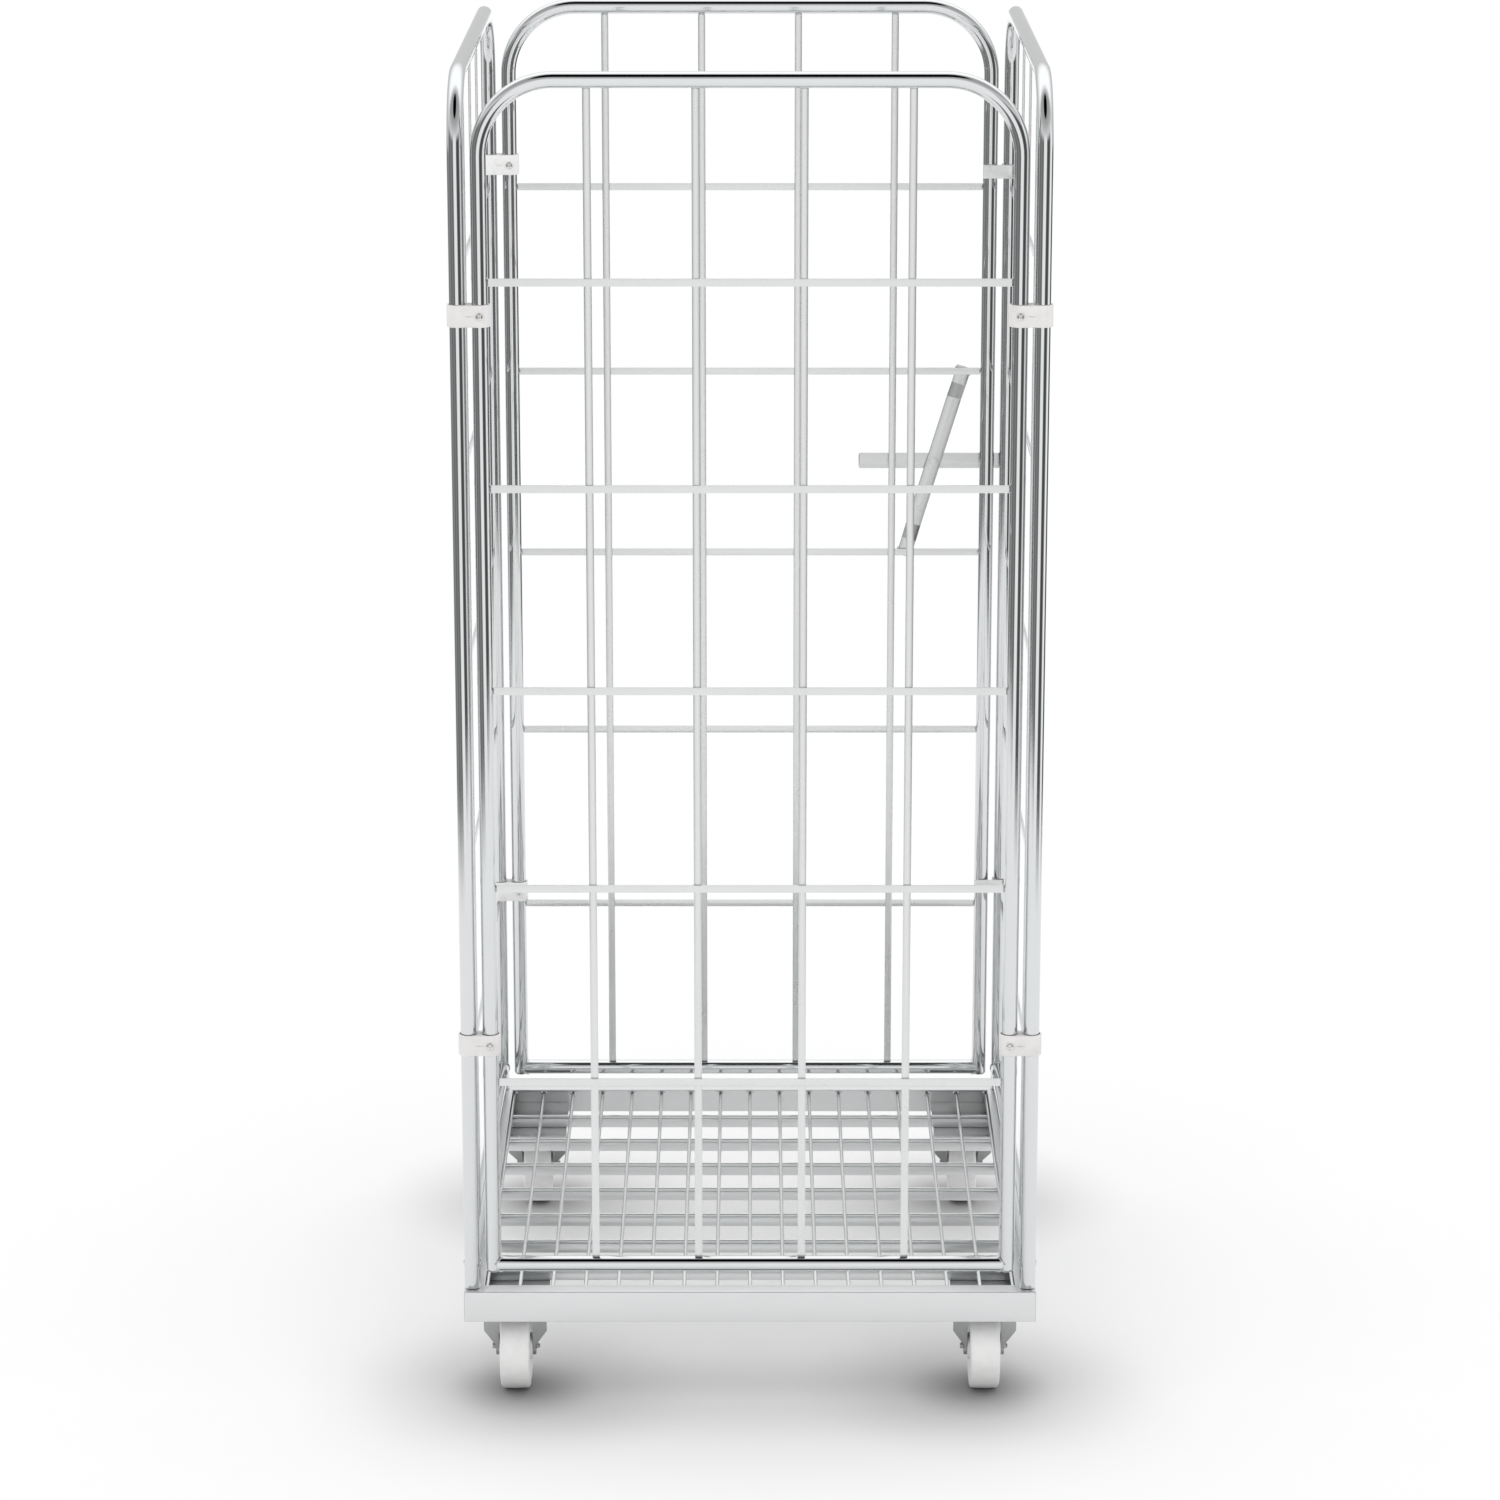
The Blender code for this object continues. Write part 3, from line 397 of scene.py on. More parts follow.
def weld_ring(half_span, height, side, bead=0.0014):
    """A weld bead round a coped end: a small circle carried round the hollow's edge, its radius
    rippling twelve times on the way as the puddle did."""
    turn = np.linspace(0.0, 2 * math.pi, 72, endpoint=False)[:, None]
    around = np.linspace(0.0, 2 * math.pi, 10, endpoint=False)[None, :]
    size = bead * (1 + 0.16 * np.sin(12 * turn))
    end = half_span - np.sqrt(np.maximum(TUBE ** 2 - (TUBE * np.cos(turn)) ** 2, 0.0)) - 0.0004
    end = np.minimum(end, half_span - 0.0030)
    radius = TUBE + size * np.cos(around)
    return np.stack([side * (end - size * np.sin(around)), radius * np.cos(turn),
                     height + radius * np.sin(turn)], -1)


def stood(points, origin, along, out):
    """Points in a wall's own frame, with x along it, y out and z up, put where the wall stands."""
    frame_axes = np.array([along, out, ZENITH], float)
    return np.asarray(origin, float) + points @ frame_axes


tube_zinc = zinc("bright_tube_zinc", "zinc_tube", (0.700, 0.715, 0.722), (0.730, 0.745, 0.750),
                 (0.042, 0.060), 0.02, 0.0)
left_low, left_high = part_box("left_wall_frame_tube")
front_low, front_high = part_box("front_wall_frame_tube")
post_x = (left_low.x + left_high.x) / 2
post_y = (front_low.y + front_high.y) / 2
side_span = left_high.y - TUBE
end_span = front_high.x - TUBE
top_z = left_high.z - TUBE
foot_tube_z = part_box("front_wall_bottom_tube")[0].z + TUBE
WALLS = {
    "left_wall": ((post_x, 0, 0), (0, 1, 0), (-1, 0, 0), side_span, left_low.z),
    "right_wall": ((-post_x, 0, 0), (0, -1, 0), (1, 0, 0), side_span, left_low.z),
    "front_wall": ((0, post_y, 0), (-1, 0, 0), (0, -1, 0), end_span, front_low.z),
    "door": ((0, -post_y, 0), (1, 0, 0), (0, 1, 0), end_span, front_low.z)}
for wall, (origin, along, out, span, foot) in WALLS.items():
    corners = [(-span, 0, foot), (-span, 0, top_z), (span, 0, top_z), (span, 0, foot)]
    ease = (0.0012, 0.10) if foot < 0.16 else (0.0045, 0.45)
    path, scale = eased(route(corners, TUBE_BEND, 20), *ease)
    tube = carried(path, circle(TUBE, ROUND), (0.0, 1.0, 0.0), scale)
    piece(wall + "_bent_tube", [skin(stood(tube, origin, along, out))], tube_zinc, [wall + "_frame_tube"])
    rings = [skin(stood(weld_ring(span, foot_tube_z, side), origin, along, out), "joined")
             for side in (-1, 1)]
    low_tube = skin(stood(coped(span, foot_tube_z), origin, along, out))
    piece(wall + "_foot_tube", [low_tube] + rings, tube_zinc, [wall + "_bottom_tube"])


# Wall grids. Rolled flat bar, four uprights inside and five cross flats outside, resistance welded
# where they cross, with a small arc weld where each end meets a tube.
FLAT_WIDTH = 0.0094
FLAT_THICK = 0.0030
FIRST_CROSS = 0.4235
CROSS_PITCH = 0.25175


def bar_outline(width, thick, corner, steps=3):
    """A rectangle with rounded corners, centred: each corner is a quarter circle."""
    turn = np.linspace(0.0, math.pi / 2, steps)
    x, y = corner * np.cos(turn), corner * np.sin(turn)
    right = np.stack([width / 2 - corner + x, thick / 2 - corner + y], 1)
    upper = np.concatenate([right, right[::-1] * (-1, 1)])
    return np.concatenate([upper, -upper])


def bar(start, stop, across, width, thick, corner=0.0004, rows=3):
    """A straight bar of rounded section, its end edges eased."""
    path = np.linspace(start, stop, rows)
    path, scale = eased(path, 0.0004, 0.06)
    return skin(carried(path, bar_outline(width, thick, corner), across, scale))


def weld_dab(place, long, size=(0.0046, 0.0016, 0.0016)):
    """A short arc weld, a lump drawn out along X, Y or Z, whichever long says."""
    order = {"x": (0, 1, 2), "y": (1, 0, 2), "z": (1, 2, 0)}[long]
    return ball(place, [size[k] for k in order])


flat_zinc = zinc("rolled_flat_zinc", "zinc_flat", (0.72, 0.733, 0.733), (0.79, 0.80, 0.80),
                 (0.25, 0.34), 0.05, 0.000002)
cross_heights = FIRST_CROSS + CROSS_PITCH * np.arange(5)
for wall, (origin, along, out, span, foot) in WALLS.items():
    low, high = (corner.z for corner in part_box(wall + "_grid"))
    local = []
    for share in (-0.6, -0.2, 0.2, 0.6):
        x, y = share * span, 0.0004 - FLAT_THICK / 2
        local.append(bar((x, y, low), (x, y, high), (1.0, 0.0, 0.0), FLAT_WIDTH, FLAT_THICK))
        local += [weld_dab((x, y, z), "x", (0.0040, 0.0011, 0.0010)) for z in (low + 0.0002, high - 0.0002)]
    for z in cross_heights:
        reach, y = span - 0.0103, FLAT_THICK / 2
        local.append(bar((-reach, y, z), (reach, y, z), ZENITH, FLAT_WIDTH, FLAT_THICK))
        local += [weld_dab((side * (reach - 0.0002), y - 0.0006, z), "z", (0.0040, 0.0012, 0.0016))
                  for side in (-1, 1)]
    local = [(stood(points, origin, along, out), faces, uv) for points, faces, uv in local]
    piece(wall + "_flats", local, flat_zinc, [wall + "_grid"])


# Base rails. Four hot rolled angles, mitred and welded at the corners, zinc plated after welding.
# The upright leg is outside and the other leg lies on top, pointing inwards.
RAIL_HEIGHT = 0.040
RAIL_FLANGE = 0.025
RAIL_WALL = 0.003
base_zinc = zinc("welded_base_zinc", "zinc_base", (0.73, 0.742, 0.746), (0.77, 0.78, 0.783),
                 (0.28, 0.35), 0.03, 0.000002)
rail_corners = [(0.012, 0.0), (RAIL_FLANGE, 0.0), (RAIL_FLANGE, -RAIL_WALL), (RAIL_WALL, -RAIL_WALL),
                (RAIL_WALL, -RAIL_HEIGHT), (0.0, -RAIL_HEIGHT), (0.0, 0.0), (0.011, 0.0)]
rail_outline = route(rail_corners, [0, 0.0007, 0.0010, 0.0022, 0.0010, 0.0006, 0.0009, 0], 5)
RAILS = {"front": ((0, -1, 0), (1, 0, 0)), "rear": ((0, 1, 0), (-1, 0, 0)),
         "left": ((-1, 0, 0), (0, -1, 0)), "right": ((1, 0, 0), (0, 1, 0))}
for word, (out, along) in RAILS.items():
    low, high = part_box("base_rail_" + word)
    face = max(abs(np.array(high) @ out), abs(np.array(low) @ out))
    half = max(abs(np.array(high) @ along), abs(np.array(low) @ along))
    share = np.linspace(-1.0, 1.0, 17)[:, None]
    inset, drop = rail_outline[:, 0], rail_outline[:, 1]
    x = share * (half - inset)
    rail = np.stack([x, face - inset + 0 * x, high.z + drop + 0 * x], -1)
    piece(f"base_angle_{word}", [skin(stood(rail, (0, 0, 0), along, out))], base_zinc, ["base_rail_" + word])
corner_beads = []
base_low, base_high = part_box("base_rail_right")
for side_x in (-1, 1):
    for side_y in (-1, 1):
        edge_x, edge_y = base_high.x - 0.0012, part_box("base_rail_rear")[1].y - 0.0012
        top = base_high.z - 0.0011
        corners = [(edge_x - 0.0232, edge_y - 0.0232, top), (edge_x - 0.0006, edge_y - 0.0006, top),
                   (edge_x - 0.0003, edge_y - 0.0003, top - 0.003), (edge_x, edge_y, base_low.z + 0.002)]
        path = route(corners, 0.0012, 6) * (side_x, side_y, 1)
        path, scale = eased(path, 0.001, 0.6)
        across = np.array([side_x, -side_y, 0.0]) / math.sqrt(2)
        corner_beads.append(skin(carried(path, circle(0.0011, 10), across, scale)))
piece("base_corner_welds", corner_beads, base_zinc, body="cage")


# Deck. Seventeen 5 mm wires lie over seven 5 mm rods, welded at each crossing and run under the
# rails' top legs, where each end has a dab of weld. A flat bar on edge stiffens each rod.
WIRE = 0.0025
WIRE_Z = 0.1442
ROD_Z = 0.1396
WIRE_PITCH = 0.0416
wire_zinc = zinc("drawn_wire_zinc", "zinc_base", (0.70, 0.713, 0.716), (0.76, 0.775, 0.78),
                 (0.12, 0.20), 0.04, 0.0000008)
deck_low, deck_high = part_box("deck_mesh")
wires_x = np.arange(-8, 9) * WIRE_PITCH
rods_y = np.linspace(-0.291, 0.291, 7)
deck = []
for x in wires_x:
    path, scale = eased(np.linspace((x, deck_low.y, WIRE_Z), (x, deck_high.y, WIRE_Z), 5), 0.0007, 0.3)
    deck.append(skin(carried(path, circle(WIRE, 16), (1.0, 0.0, 0.0), scale)))
for y in rods_y:
    path, scale = eased(np.linspace((deck_low.x, y, ROD_Z), (deck_high.x, y, ROD_Z), 5), 0.0007, 0.3)
    deck.append(skin(carried(path, circle(WIRE, 16), (0.0, 1.0, 0.0), scale)))
cross_x, cross_y = np.meshgrid(wires_x, rods_y)
for x, y in zip(cross_x.ravel(), cross_y.ravel()):
    deck.append(ball((x, y, (WIRE_Z + ROD_Z) / 2), (0.0029, 0.0029, 0.0012), 4, 8))
piece("deck_wires", deck, wire_zinc, ["deck_mesh"])
dabs = []
flange_y, flange_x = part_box("base_rail_rear")[0].y, base_low.x
for x in wires_x:
    for side in (-1, 1):
        for shift in (-0.0030, 0.0030):
            dabs.append(ball((x + shift, side * (flange_y + 0.0004), 0.1458), (0.0021, 0.0028, 0.0021)))
for y in rods_y:
    for side in (-1, 1):
        end_x = side * (deck_high.x - 0.0012)
        dabs.append(ball((end_x, y + 0.0022, ROD_Z), (0.0018, 0.0016, 0.0030)))
        dabs.append(ball((end_x, y - 0.0022, ROD_Z - 0.005), (0.0018, 0.0016, 0.0050)))
piece("deck_end_welds", dabs, wire_zinc, body="cage")
for number in range(1, 8):
    low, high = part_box(f"deck_bar_{number}")
    middle = (low + high) / 2
    start, stop = (low.x, middle.y, middle.z), (high.x, middle.y, middle.z)
    made = bar(start, stop, ZENITH, high.z - low.z, high.y - low.y, rows=9)
    piece(f"deck_stiffener_{number}", [made], base_zinc, [f"deck_bar_{number}"])


# Clips. Plastic mouldings that wrap two posts, with a slight waist between them and a faint parting
# line, whiter where the door hangs. A self tapping screw through the flat side holds each one on.
CLIP_REACH = 0.0128           # outside radius round a post
CLIP_WAIST = 0.0007           # how far its sides dip between the posts
CLIP_EDGE = 0.0011            # radius of its outer edges
CLIP_LEAD = 0.0030            # depth over which the bore opens out at each end
POST_PITCH = 0.027
CLIP_NODES = [f"{group}_{level}" for group in ("front_clip_left", "front_clip_right", "door_hinge_clip")
              for level in ("bottom", "top")]


def moulding(centre, side, height):
    """A clip's wall: P(t, s) = bore(t) + a(s) (outside(t) - bore(t)), at height b(s). The outside is
    two half circles joined by sides that dip in a cosine to a waist; the bore is the two posts'
    circles, and the middle plane between them. The bore opens out at both ends to lead the posts in."""
    turn = np.linspace(0.0, math.pi, 25)
    run = np.linspace(0.0, 1.0, 24)[1:-1]
    waist = CLIP_REACH - CLIP_WAIST * np.sin(math.pi * run) ** 2
    far = np.stack([POST_PITCH + CLIP_REACH * np.sin(turn), CLIP_REACH * np.cos(turn)], 1)
    near = np.stack([-CLIP_REACH * np.sin(turn), -CLIP_REACH * np.cos(turn)], 1)
    low_side = np.stack([POST_PITCH * (1 - run), -waist], 1)
    top_side = np.stack([POST_PITCH * run, waist], 1)
    outside = np.concatenate([far, low_side, near, top_side])
    bore = TUBE + 0.0002
    x = np.clip(outside[:, 0], 0.0, POST_PITCH)
    from_post = np.minimum(x, POST_PITCH - x)
    y = np.sign(outside[:, 1]) * np.sqrt(np.maximum(bore ** 2 - from_post ** 2, 0.0))
    inside = np.stack([x, y], 1)
    ends = (outside[:, 0] < 0) | (outside[:, 0] > POST_PITCH)
    post = np.where(outside[:, :1] < POST_PITCH / 2, [[0.0, 0.0]], [[POST_PITCH, 0.0]])
    inside = np.where(ends[:, None], post + (outside - post) * bore / CLIP_REACH, inside)
    half = height / 2
    edge = np.linspace(0.0, math.pi / 2, 5)
    rounded, drop = 1 - 0.44 * (1 - np.sin(edge)), CLIP_EDGE * (1 - np.cos(edge))
    rise = np.concatenate([[CLIP_LEAD - half, -half], drop - half, [-0.0006, 0.0, 0.0006],
                           half - drop[::-1], [half, half - CLIP_LEAD]])
    inwards = np.concatenate([[0.0, 0.34], rounded, [1, 1, 1], rounded[::-1], [0.34, 0.0]])
    depth = np.zeros((len(outside), len(rise)))
    groove = (outside[:, 1] < 0) * np.clip(1 - np.abs(outside[:, 0] - 0.55 * POST_PITCH) / 0.010, 0, 1)
    depth[:, len(rise) // 2] = 0.10 * groove
    a = inwards[None, :] - depth
    flat = inside[:, None] + a[..., None] * (outside - inside)[:, None]
    points = np.concatenate([flat * (side, 1), np.broadcast_to(rise, a.shape)[..., None]], -1)
    return np.asarray(centre) + points


def plastic(name, slot, dark, light, rough, grain_size, bump, scuffs):
    """Moulded plastic: a fine eroded grain, slow clouds of tone, and a few duller scuffs. Rough is the
    lowest and highest roughness, and bump the height of the grain."""
    finish = bpy.data.materials.new(name)
    finish["slot"] = slot
    finish.use_nodes = True
    shader = finish.node_tree.nodes["Principled BSDF"]
    shader.inputs["IOR"].default_value = 1.49
    solid = Signal(finish.node_tree)
    place = solid.node("TexCoord", {}, {}, "Object")
    clouds = place.noise(0.030, 3.0, 0.55)
    grain = place.noise(grain_size, 2.0, 0.6)
    rubbed = place.stretched(1.0, 1.0, 3.0).noise(0.009, 5.0, 0.75).step(0.56, 0.74)
    tone = (0.7 * clouds + 0.3 * grain - scuffs * rubbed).step(0.20, 0.62)
    roughness = (0.4 * clouds + 0.3 * grain + 0.5 * rubbed).step(0.20, 0.90)
    normal = solid.node("Bump", {}, {"Strength": 1.0, "Distance": bump, "Height": grain + 0.3 * rubbed})
    links = finish.node_tree.links
    links.new(tone.tint(dark, light).socket, shader.inputs["Base Color"])
    links.new(roughness.blend(*rough).socket, shader.inputs["Roughness"])
    links.new(normal.socket, shader.inputs["Normal"])
    return finish


def spun(profile, centre, axis, sides=48):
    """A profile of (along, radius) points spun about an axis: P = centre + a axis + r (cos t u + sin t v),
    with u and v square to the axis."""
    axis = np.asarray(axis, float)
    u = np.cross(axis, (0.0, 0.0, 1.0) if abs(axis[2]) < 0.5 else (1.0, 0.0, 0.0))
    v = np.cross(axis, u)
    turn = np.linspace(0.0, 2 * math.pi, sides, endpoint=False)[None, :, None]
    profile = np.asarray(profile, float)
    along, radius = profile[:, :1, None], profile[:, 1:, None]
    return np.asarray(centre) + along * axis + radius * (np.cos(turn) * u + np.sin(turn) * v)


def screw_head(centre, face):
    """A pan head with a cross recess: a dome's height above its seat, less a pit that has four arms.
    An arm's depth falls off smoothly past its half width and past its length."""
    head, rise, rim, sides = 0.0045, 0.0024, 0.0006, 48
    arm_half, arm_length, arm_depth = 0.0006, 0.0024, 0.0011
    radius = np.concatenate([np.linspace(0.0, head * 0.96, 20), [head * 0.99, head]])[:, None]
    turn = np.linspace(0.0, 2 * math.pi, sides, endpoint=False)[None, :]
    x, z = radius * np.cos(turn), radius * np.sin(turn)
    dome = rim + (rise - rim) * np.sqrt(np.maximum(1 - (radius / head) ** 2, 0.0)) + 0 * turn
    across_x, across_z = (np.clip((arm_half - np.abs(v)) / 0.0003, 0, 1) for v in (x, z))
    along_x, along_z = (np.clip((arm_length - np.abs(v)) / 0.0006, 0, 1) for v in (x, z))
    out = dome - arm_depth * np.maximum(across_x * along_z, across_z * along_x)
    top = np.stack([x, out, z], -1)
    under = [(0.0, head), (0.0, 0.0020), (-0.0025, 0.0018), (-0.0026, 0.0)]
    low = np.stack([np.stack([r * np.cos(turn[0]), np.full(sides, a), r * np.sin(turn[0])], -1)
                    for a, r in under])
    return np.asarray(centre) + np.concatenate([top, low]) * (1, face, 1)


clip_plastic = plastic("moulded_clip_plastic", "clip_plastic", (0.60, 0.58, 0.578), (0.70, 0.682, 0.678),
                       (0.38, 0.52), 0.0007, 0.00002, 0.05)
hinge_plastic = plastic("moulded_hinge_plastic", "clip_plastic", (0.70, 0.693, 0.69), (0.79, 0.785, 0.782),
                        (0.34, 0.48), 0.0007, 0.00002, 0.05)
screw_steel = zinc("turned_screw_steel", "bolt_steel", (0.78, 0.78, 0.77), (0.86, 0.86, 0.85),
                   (0.22, 0.32), 0.06, 0.000002)
for node in CLIP_NODES:
    low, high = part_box(node)
    side = 1 if low.x < 0 else -1
    outer_x = low.x + CLIP_REACH if side > 0 else high.x - CLIP_REACH
    centre = (outer_x, (low.y + high.y) / 2, (low.z + high.z) / 2)
    made = skin(moulding(centre, side, high.z - low.z), "joined")
    piece(node + "_moulding", [made], hinge_plastic if "hinge" in node else clip_plastic, [node])
    low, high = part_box(node + "_screw")
    seat = ((low.x + high.x) / 2, low.y + 0.0024, (low.z + high.z) / 2)
    piece(node + "_screw_head", [skin(screw_head(seat, -1), "open")], screw_steel, [node + "_screw"])


# Door stops. Steel bands wrapped round the right rear post, each with a tongue left straight that
# the door's post comes to rest against.
BAND_THICK = 0.0020
BAND_GAP = 0.0003
for level in ("bottom", "top"):
    low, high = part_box(f"door_stop_{level}")
    post = np.array([-post_x, -post_y, (low.z + high.z) / 2])
    middle = TUBE + BAND_GAP + BAND_THICK / 2
    turn = np.radians(np.linspace(-90, 255, 70))
    wrap = post + middle * np.stack([np.cos(turn), np.sin(turn), 0 * turn], 1)
    tongue = np.linspace((low.x, post[1] - middle, post[2]), (post[0] - 0.002, post[1] - middle, post[2]), 6)
    path, scale = eased(np.concatenate([tongue, wrap]), 0.0005, 0.05)
    band = carried(path, bar_outline(high.z - low.z, BAND_THICK, 0.0007), ZENITH, scale)
    piece(f"door_stop_{level}_band", [skin(band)], flat_zinc, [f"door_stop_{level}"])


# Latch. A joggled strap is welded slanting across two of the door's cross flats, with painted shade
# on its two bent ramps, and a flat bar turns on a rivet through its middle. The bar's end drops into a
# keeper on the side post.
BRIDGE_LEAN = math.radians(17)
BRIDGE_WIDTH = 0.0200
BRIDGE_THICK = 0.0030
BRIDGE_TAB = 0.024            # length of a flat end
BRIDGE_RISE = 0.046           # from an end to where the strap is fully raised
RIVET_HEAD = 0.0070           # radius of the outer head
RIVET_DOME = 0.0024           # and its height
RIVET_SHANK = 0.0040
KEEPER_WALL = 0.0020
KEEPER_SHELF = 0.0170         # height of the shelf's middle above the keeper's foot
# Painted shade: the grey that the strap's bent ramps are multiplied by.
RAMP_SHADE_GREY = (0.60, 0.60, 0.60, 1.0)
pivot = (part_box("latch_rivet")[0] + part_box("latch_rivet")[1]) / 2
bridge_low, bridge_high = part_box("latch_bridge")
bridge_drop = bridge_high.z - bridge_low.z - BRIDGE_WIDTH * math.sin(BRIDGE_LEAN)
half = bridge_drop / 2 / math.cos(BRIDGE_LEAN)
flat_y, raised_y = bridge_low.y + BRIDGE_THICK / 2, bridge_high.y - BRIDGE_THICK / 2
joggle = [(-half, flat_y), (BRIDGE_TAB - half, flat_y), (BRIDGE_RISE - half, raised_y),
          (half - BRIDGE_RISE, raised_y), (half - BRIDGE_TAB, flat_y), (half, flat_y)]
flat_path = route(joggle, 0.0025, 6)
lean = np.array([math.sin(BRIDGE_LEAN), 0.0, math.cos(BRIDGE_LEAN)])
square = np.array([math.cos(BRIDGE_LEAN), 0.0, -math.sin(BRIDGE_LEAN)])
path = np.array([pivot.x, 0.0, pivot.z]) + flat_path[:, :1] * lean + flat_path[:, 1:] * (0.0, 1.0, 0.0)
path, scale = eased(path, 0.0004, 0.03)
bridge = [skin(carried(path, bar_outline(BRIDGE_WIDTH, BRIDGE_THICK, 0.0006), square, scale))]
for end in (-1, 1):
    for edge in (-1, 1):
        spot = np.array([pivot.x, bridge_low.y + 0.0004, pivot.z]) + end * (half - 0.0060) * lean
        bridge.append(weld_dab(spot + edge * 0.0098 * square, "x", (0.0016, 0.0009, 0.0044)))
latch_zinc = zinc("latch_strap_zinc", "zinc_flat", (0.60, 0.61, 0.61), (0.69, 0.70, 0.70),
                  (0.20, 0.30), 0.08, 0.000002)
strap_zinc = zinc("bent_strap_painted_shade_zinc", "zinc_flat", (0.60, 0.61, 0.61), (0.69, 0.70, 0.70),
                  (0.20, 0.30), 0.08, 0.000002)
# Painted shade: the strap's colour is multiplied by a grey on its two bent ramps, with hard edges.
strap = Signal(strap_zinc.node_tree)
strap_colour = strap_zinc.node_tree.nodes["Principled BSDF"].inputs["Base Color"]
plain = Signal(strap_zinc.node_tree, strap_colour.links[0].from_socket)
place = strap.node("TexCoord", {}, {}, "Object")
from_pivot = strap.node("VectorMath", {"operation": "SUBTRACT"}, {0: place, 1: tuple(pivot)})
along_strap = strap.node("VectorMath", {"operation": "DOT_PRODUCT"}, {0: from_pivot, 1: tuple(lean)}, "Value")
reach = strap.math("ABSOLUTE", along_strap)
ramp_foot = reach.step(half - BRIDGE_RISE, half - BRIDGE_RISE + 0.0010)
bent = ramp_foot * (1.0 - reach.step(half - BRIDGE_TAB - 0.0010, half - BRIDGE_TAB))
painted_ramp_shade = strap.node("Mix", {"data_type": "RGBA", "blend_type": "MULTIPLY"}, {0: bent, 6: plain, 7: RAMP_SHADE_GREY}, 2)
strap_zinc.node_tree.links.new(painted_ramp_shade.socket, strap_colour)
piece("latch_bridge_strap", bridge, strap_zinc, ["latch_bridge"])


def turning_bar(low, high, corner):
    """A flat bar along X whose end corners are quarter circles: at corner (1 - cos t) from an end its
    half width is short of full by corner (1 - sin t)."""
    turn = np.linspace(0.0, math.pi / 2, 7)
    ends = corner * (1 - np.cos(turn))
    short = corner * (1 - np.sin(turn))
    x = np.concatenate([low.x + ends, np.linspace(low.x, high.x, 12)[1:-1], high.x - ends[::-1]])
    loss = np.concatenate([short, np.zeros(10), short[::-1]])
    outline = bar_outline(high.z - low.z, high.y - low.y, 0.0006)
    width = 1 - loss[:, None] / ((high.z - low.z) / 2)
    y = (low.y + high.y) / 2 + outline[None, :, 1] + 0 * width
    z = (low.z + high.z) / 2 + outline[None, :, 0] * width
    return np.stack([x[:, None] + 0 * y, y, z], -1)


piece("latch_turning_bar", [skin(turning_bar(*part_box("latch_bar"), 0.0030))], latch_zinc, ["latch_bar"])
low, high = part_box("latch_rivet")
dome = np.linspace(0.0, math.pi / 2, 8)
near_head = [(low.y + 0.0003, 0.0), (low.y + 0.0003, 0.0050), (low.y + 0.0006, 0.0062)]
far_head = np.stack([high.y - RIVET_DOME * (1 - np.cos(dome[::-1])), RIVET_HEAD * np.sin(dome[::-1])], 1)
shank = [(low.y + 0.0010, RIVET_SHANK), (high.y - RIVET_DOME - 0.0002, RIVET_SHANK)]
rivet = spun(np.concatenate([near_head, shank, far_head]), (pivot.x, 0.0, pivot.z), (0.0, 1.0, 0.0))
rivet_steel = zinc("peened_rivet_steel", "bolt_steel", (0.62, 0.635, 0.635), (0.72, 0.73, 0.73),
                   (0.24, 0.38), 0.08, 0.000002)
piece("latch_rivet_peened", [skin(rivet, "open")], rivet_steel, ["latch_rivet"])
low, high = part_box("latch_keeper")
keeper_x = (low.x + high.x) / 2
tab_y, lip_y, shelf_z = low.y + KEEPER_WALL / 2, high.y - KEEPER_WALL / 2, low.z + KEEPER_SHELF
corners = [(keeper_x, tab_y, low.z), (keeper_x, tab_y, shelf_z), (keeper_x, lip_y, shelf_z),
           (keeper_x, lip_y, high.z)]
path, scale = eased(route(corners, 0.0016, 6), 0.0004, 0.05)
hook = skin(carried(path, bar_outline(high.x - low.x, KEEPER_WALL, 0.0006), (1.0, 0.0, 0.0), scale))
seats = [weld_dab((keeper_x + edge * 0.0070, low.y + 0.0002, low.z + 0.008), "z", (0.0050, 0.0010, 0.0012))
         for edge in (-1, 1)]
piece("latch_keeper_hook", [hook] + seats, flat_zinc, ["latch_keeper"])


# Castors. Pressed steel, zinc plated: two fixed brackets at the front, and two forks that swivel on
# a ball race at the door end. Each carries a solid white plastic wheel on a bolt.
AXLE_Z = 0.054
LEG_GAP = 0.043
LEG_THICK = 0.0025
LEG_FOOT = 0.0115             # radius of the round end
LEG_TOP_DEPTH = 0.062
LIP = 0.0015                  # how far the leg's edges stand out beside the axle
EAR = 0.0145                  # and how much further they stand out as ears
EAR_START = 0.0055            # heights above the axle where the ears start and are full
EAR_FULL = 0.0280
PLATE_THICK = 0.0035
CROWN_THICK = 0.0030          # the fork's flat top
CROWN_DROP = 0.0092           # from the top of the race to the fork's flat top's underside
WEB = (0.0182, 0.0375)        # radii between which a wheel's web is ribbed
RIB_HEIGHT = 0.0030
castor_zinc = zinc("pressed_castor_zinc", "zinc_castor", (0.52, 0.53, 0.53), (0.62, 0.63, 0.63),
                   (0.18, 0.30), 0.08, 0.000002)
axle_steel = zinc("turned_axle_steel", "bolt_steel", (0.36, 0.36, 0.36), (0.48, 0.48, 0.475),
                  (0.20, 0.34), 0.12, 0.000003)
wheel_plastic = plastic("solid_wheel_plastic", "wheel_plastic", (0.64, 0.64, 0.635), (0.75, 0.75, 0.745),
                        (0.36, 0.52), 0.0011, 0.00003, 0.06)


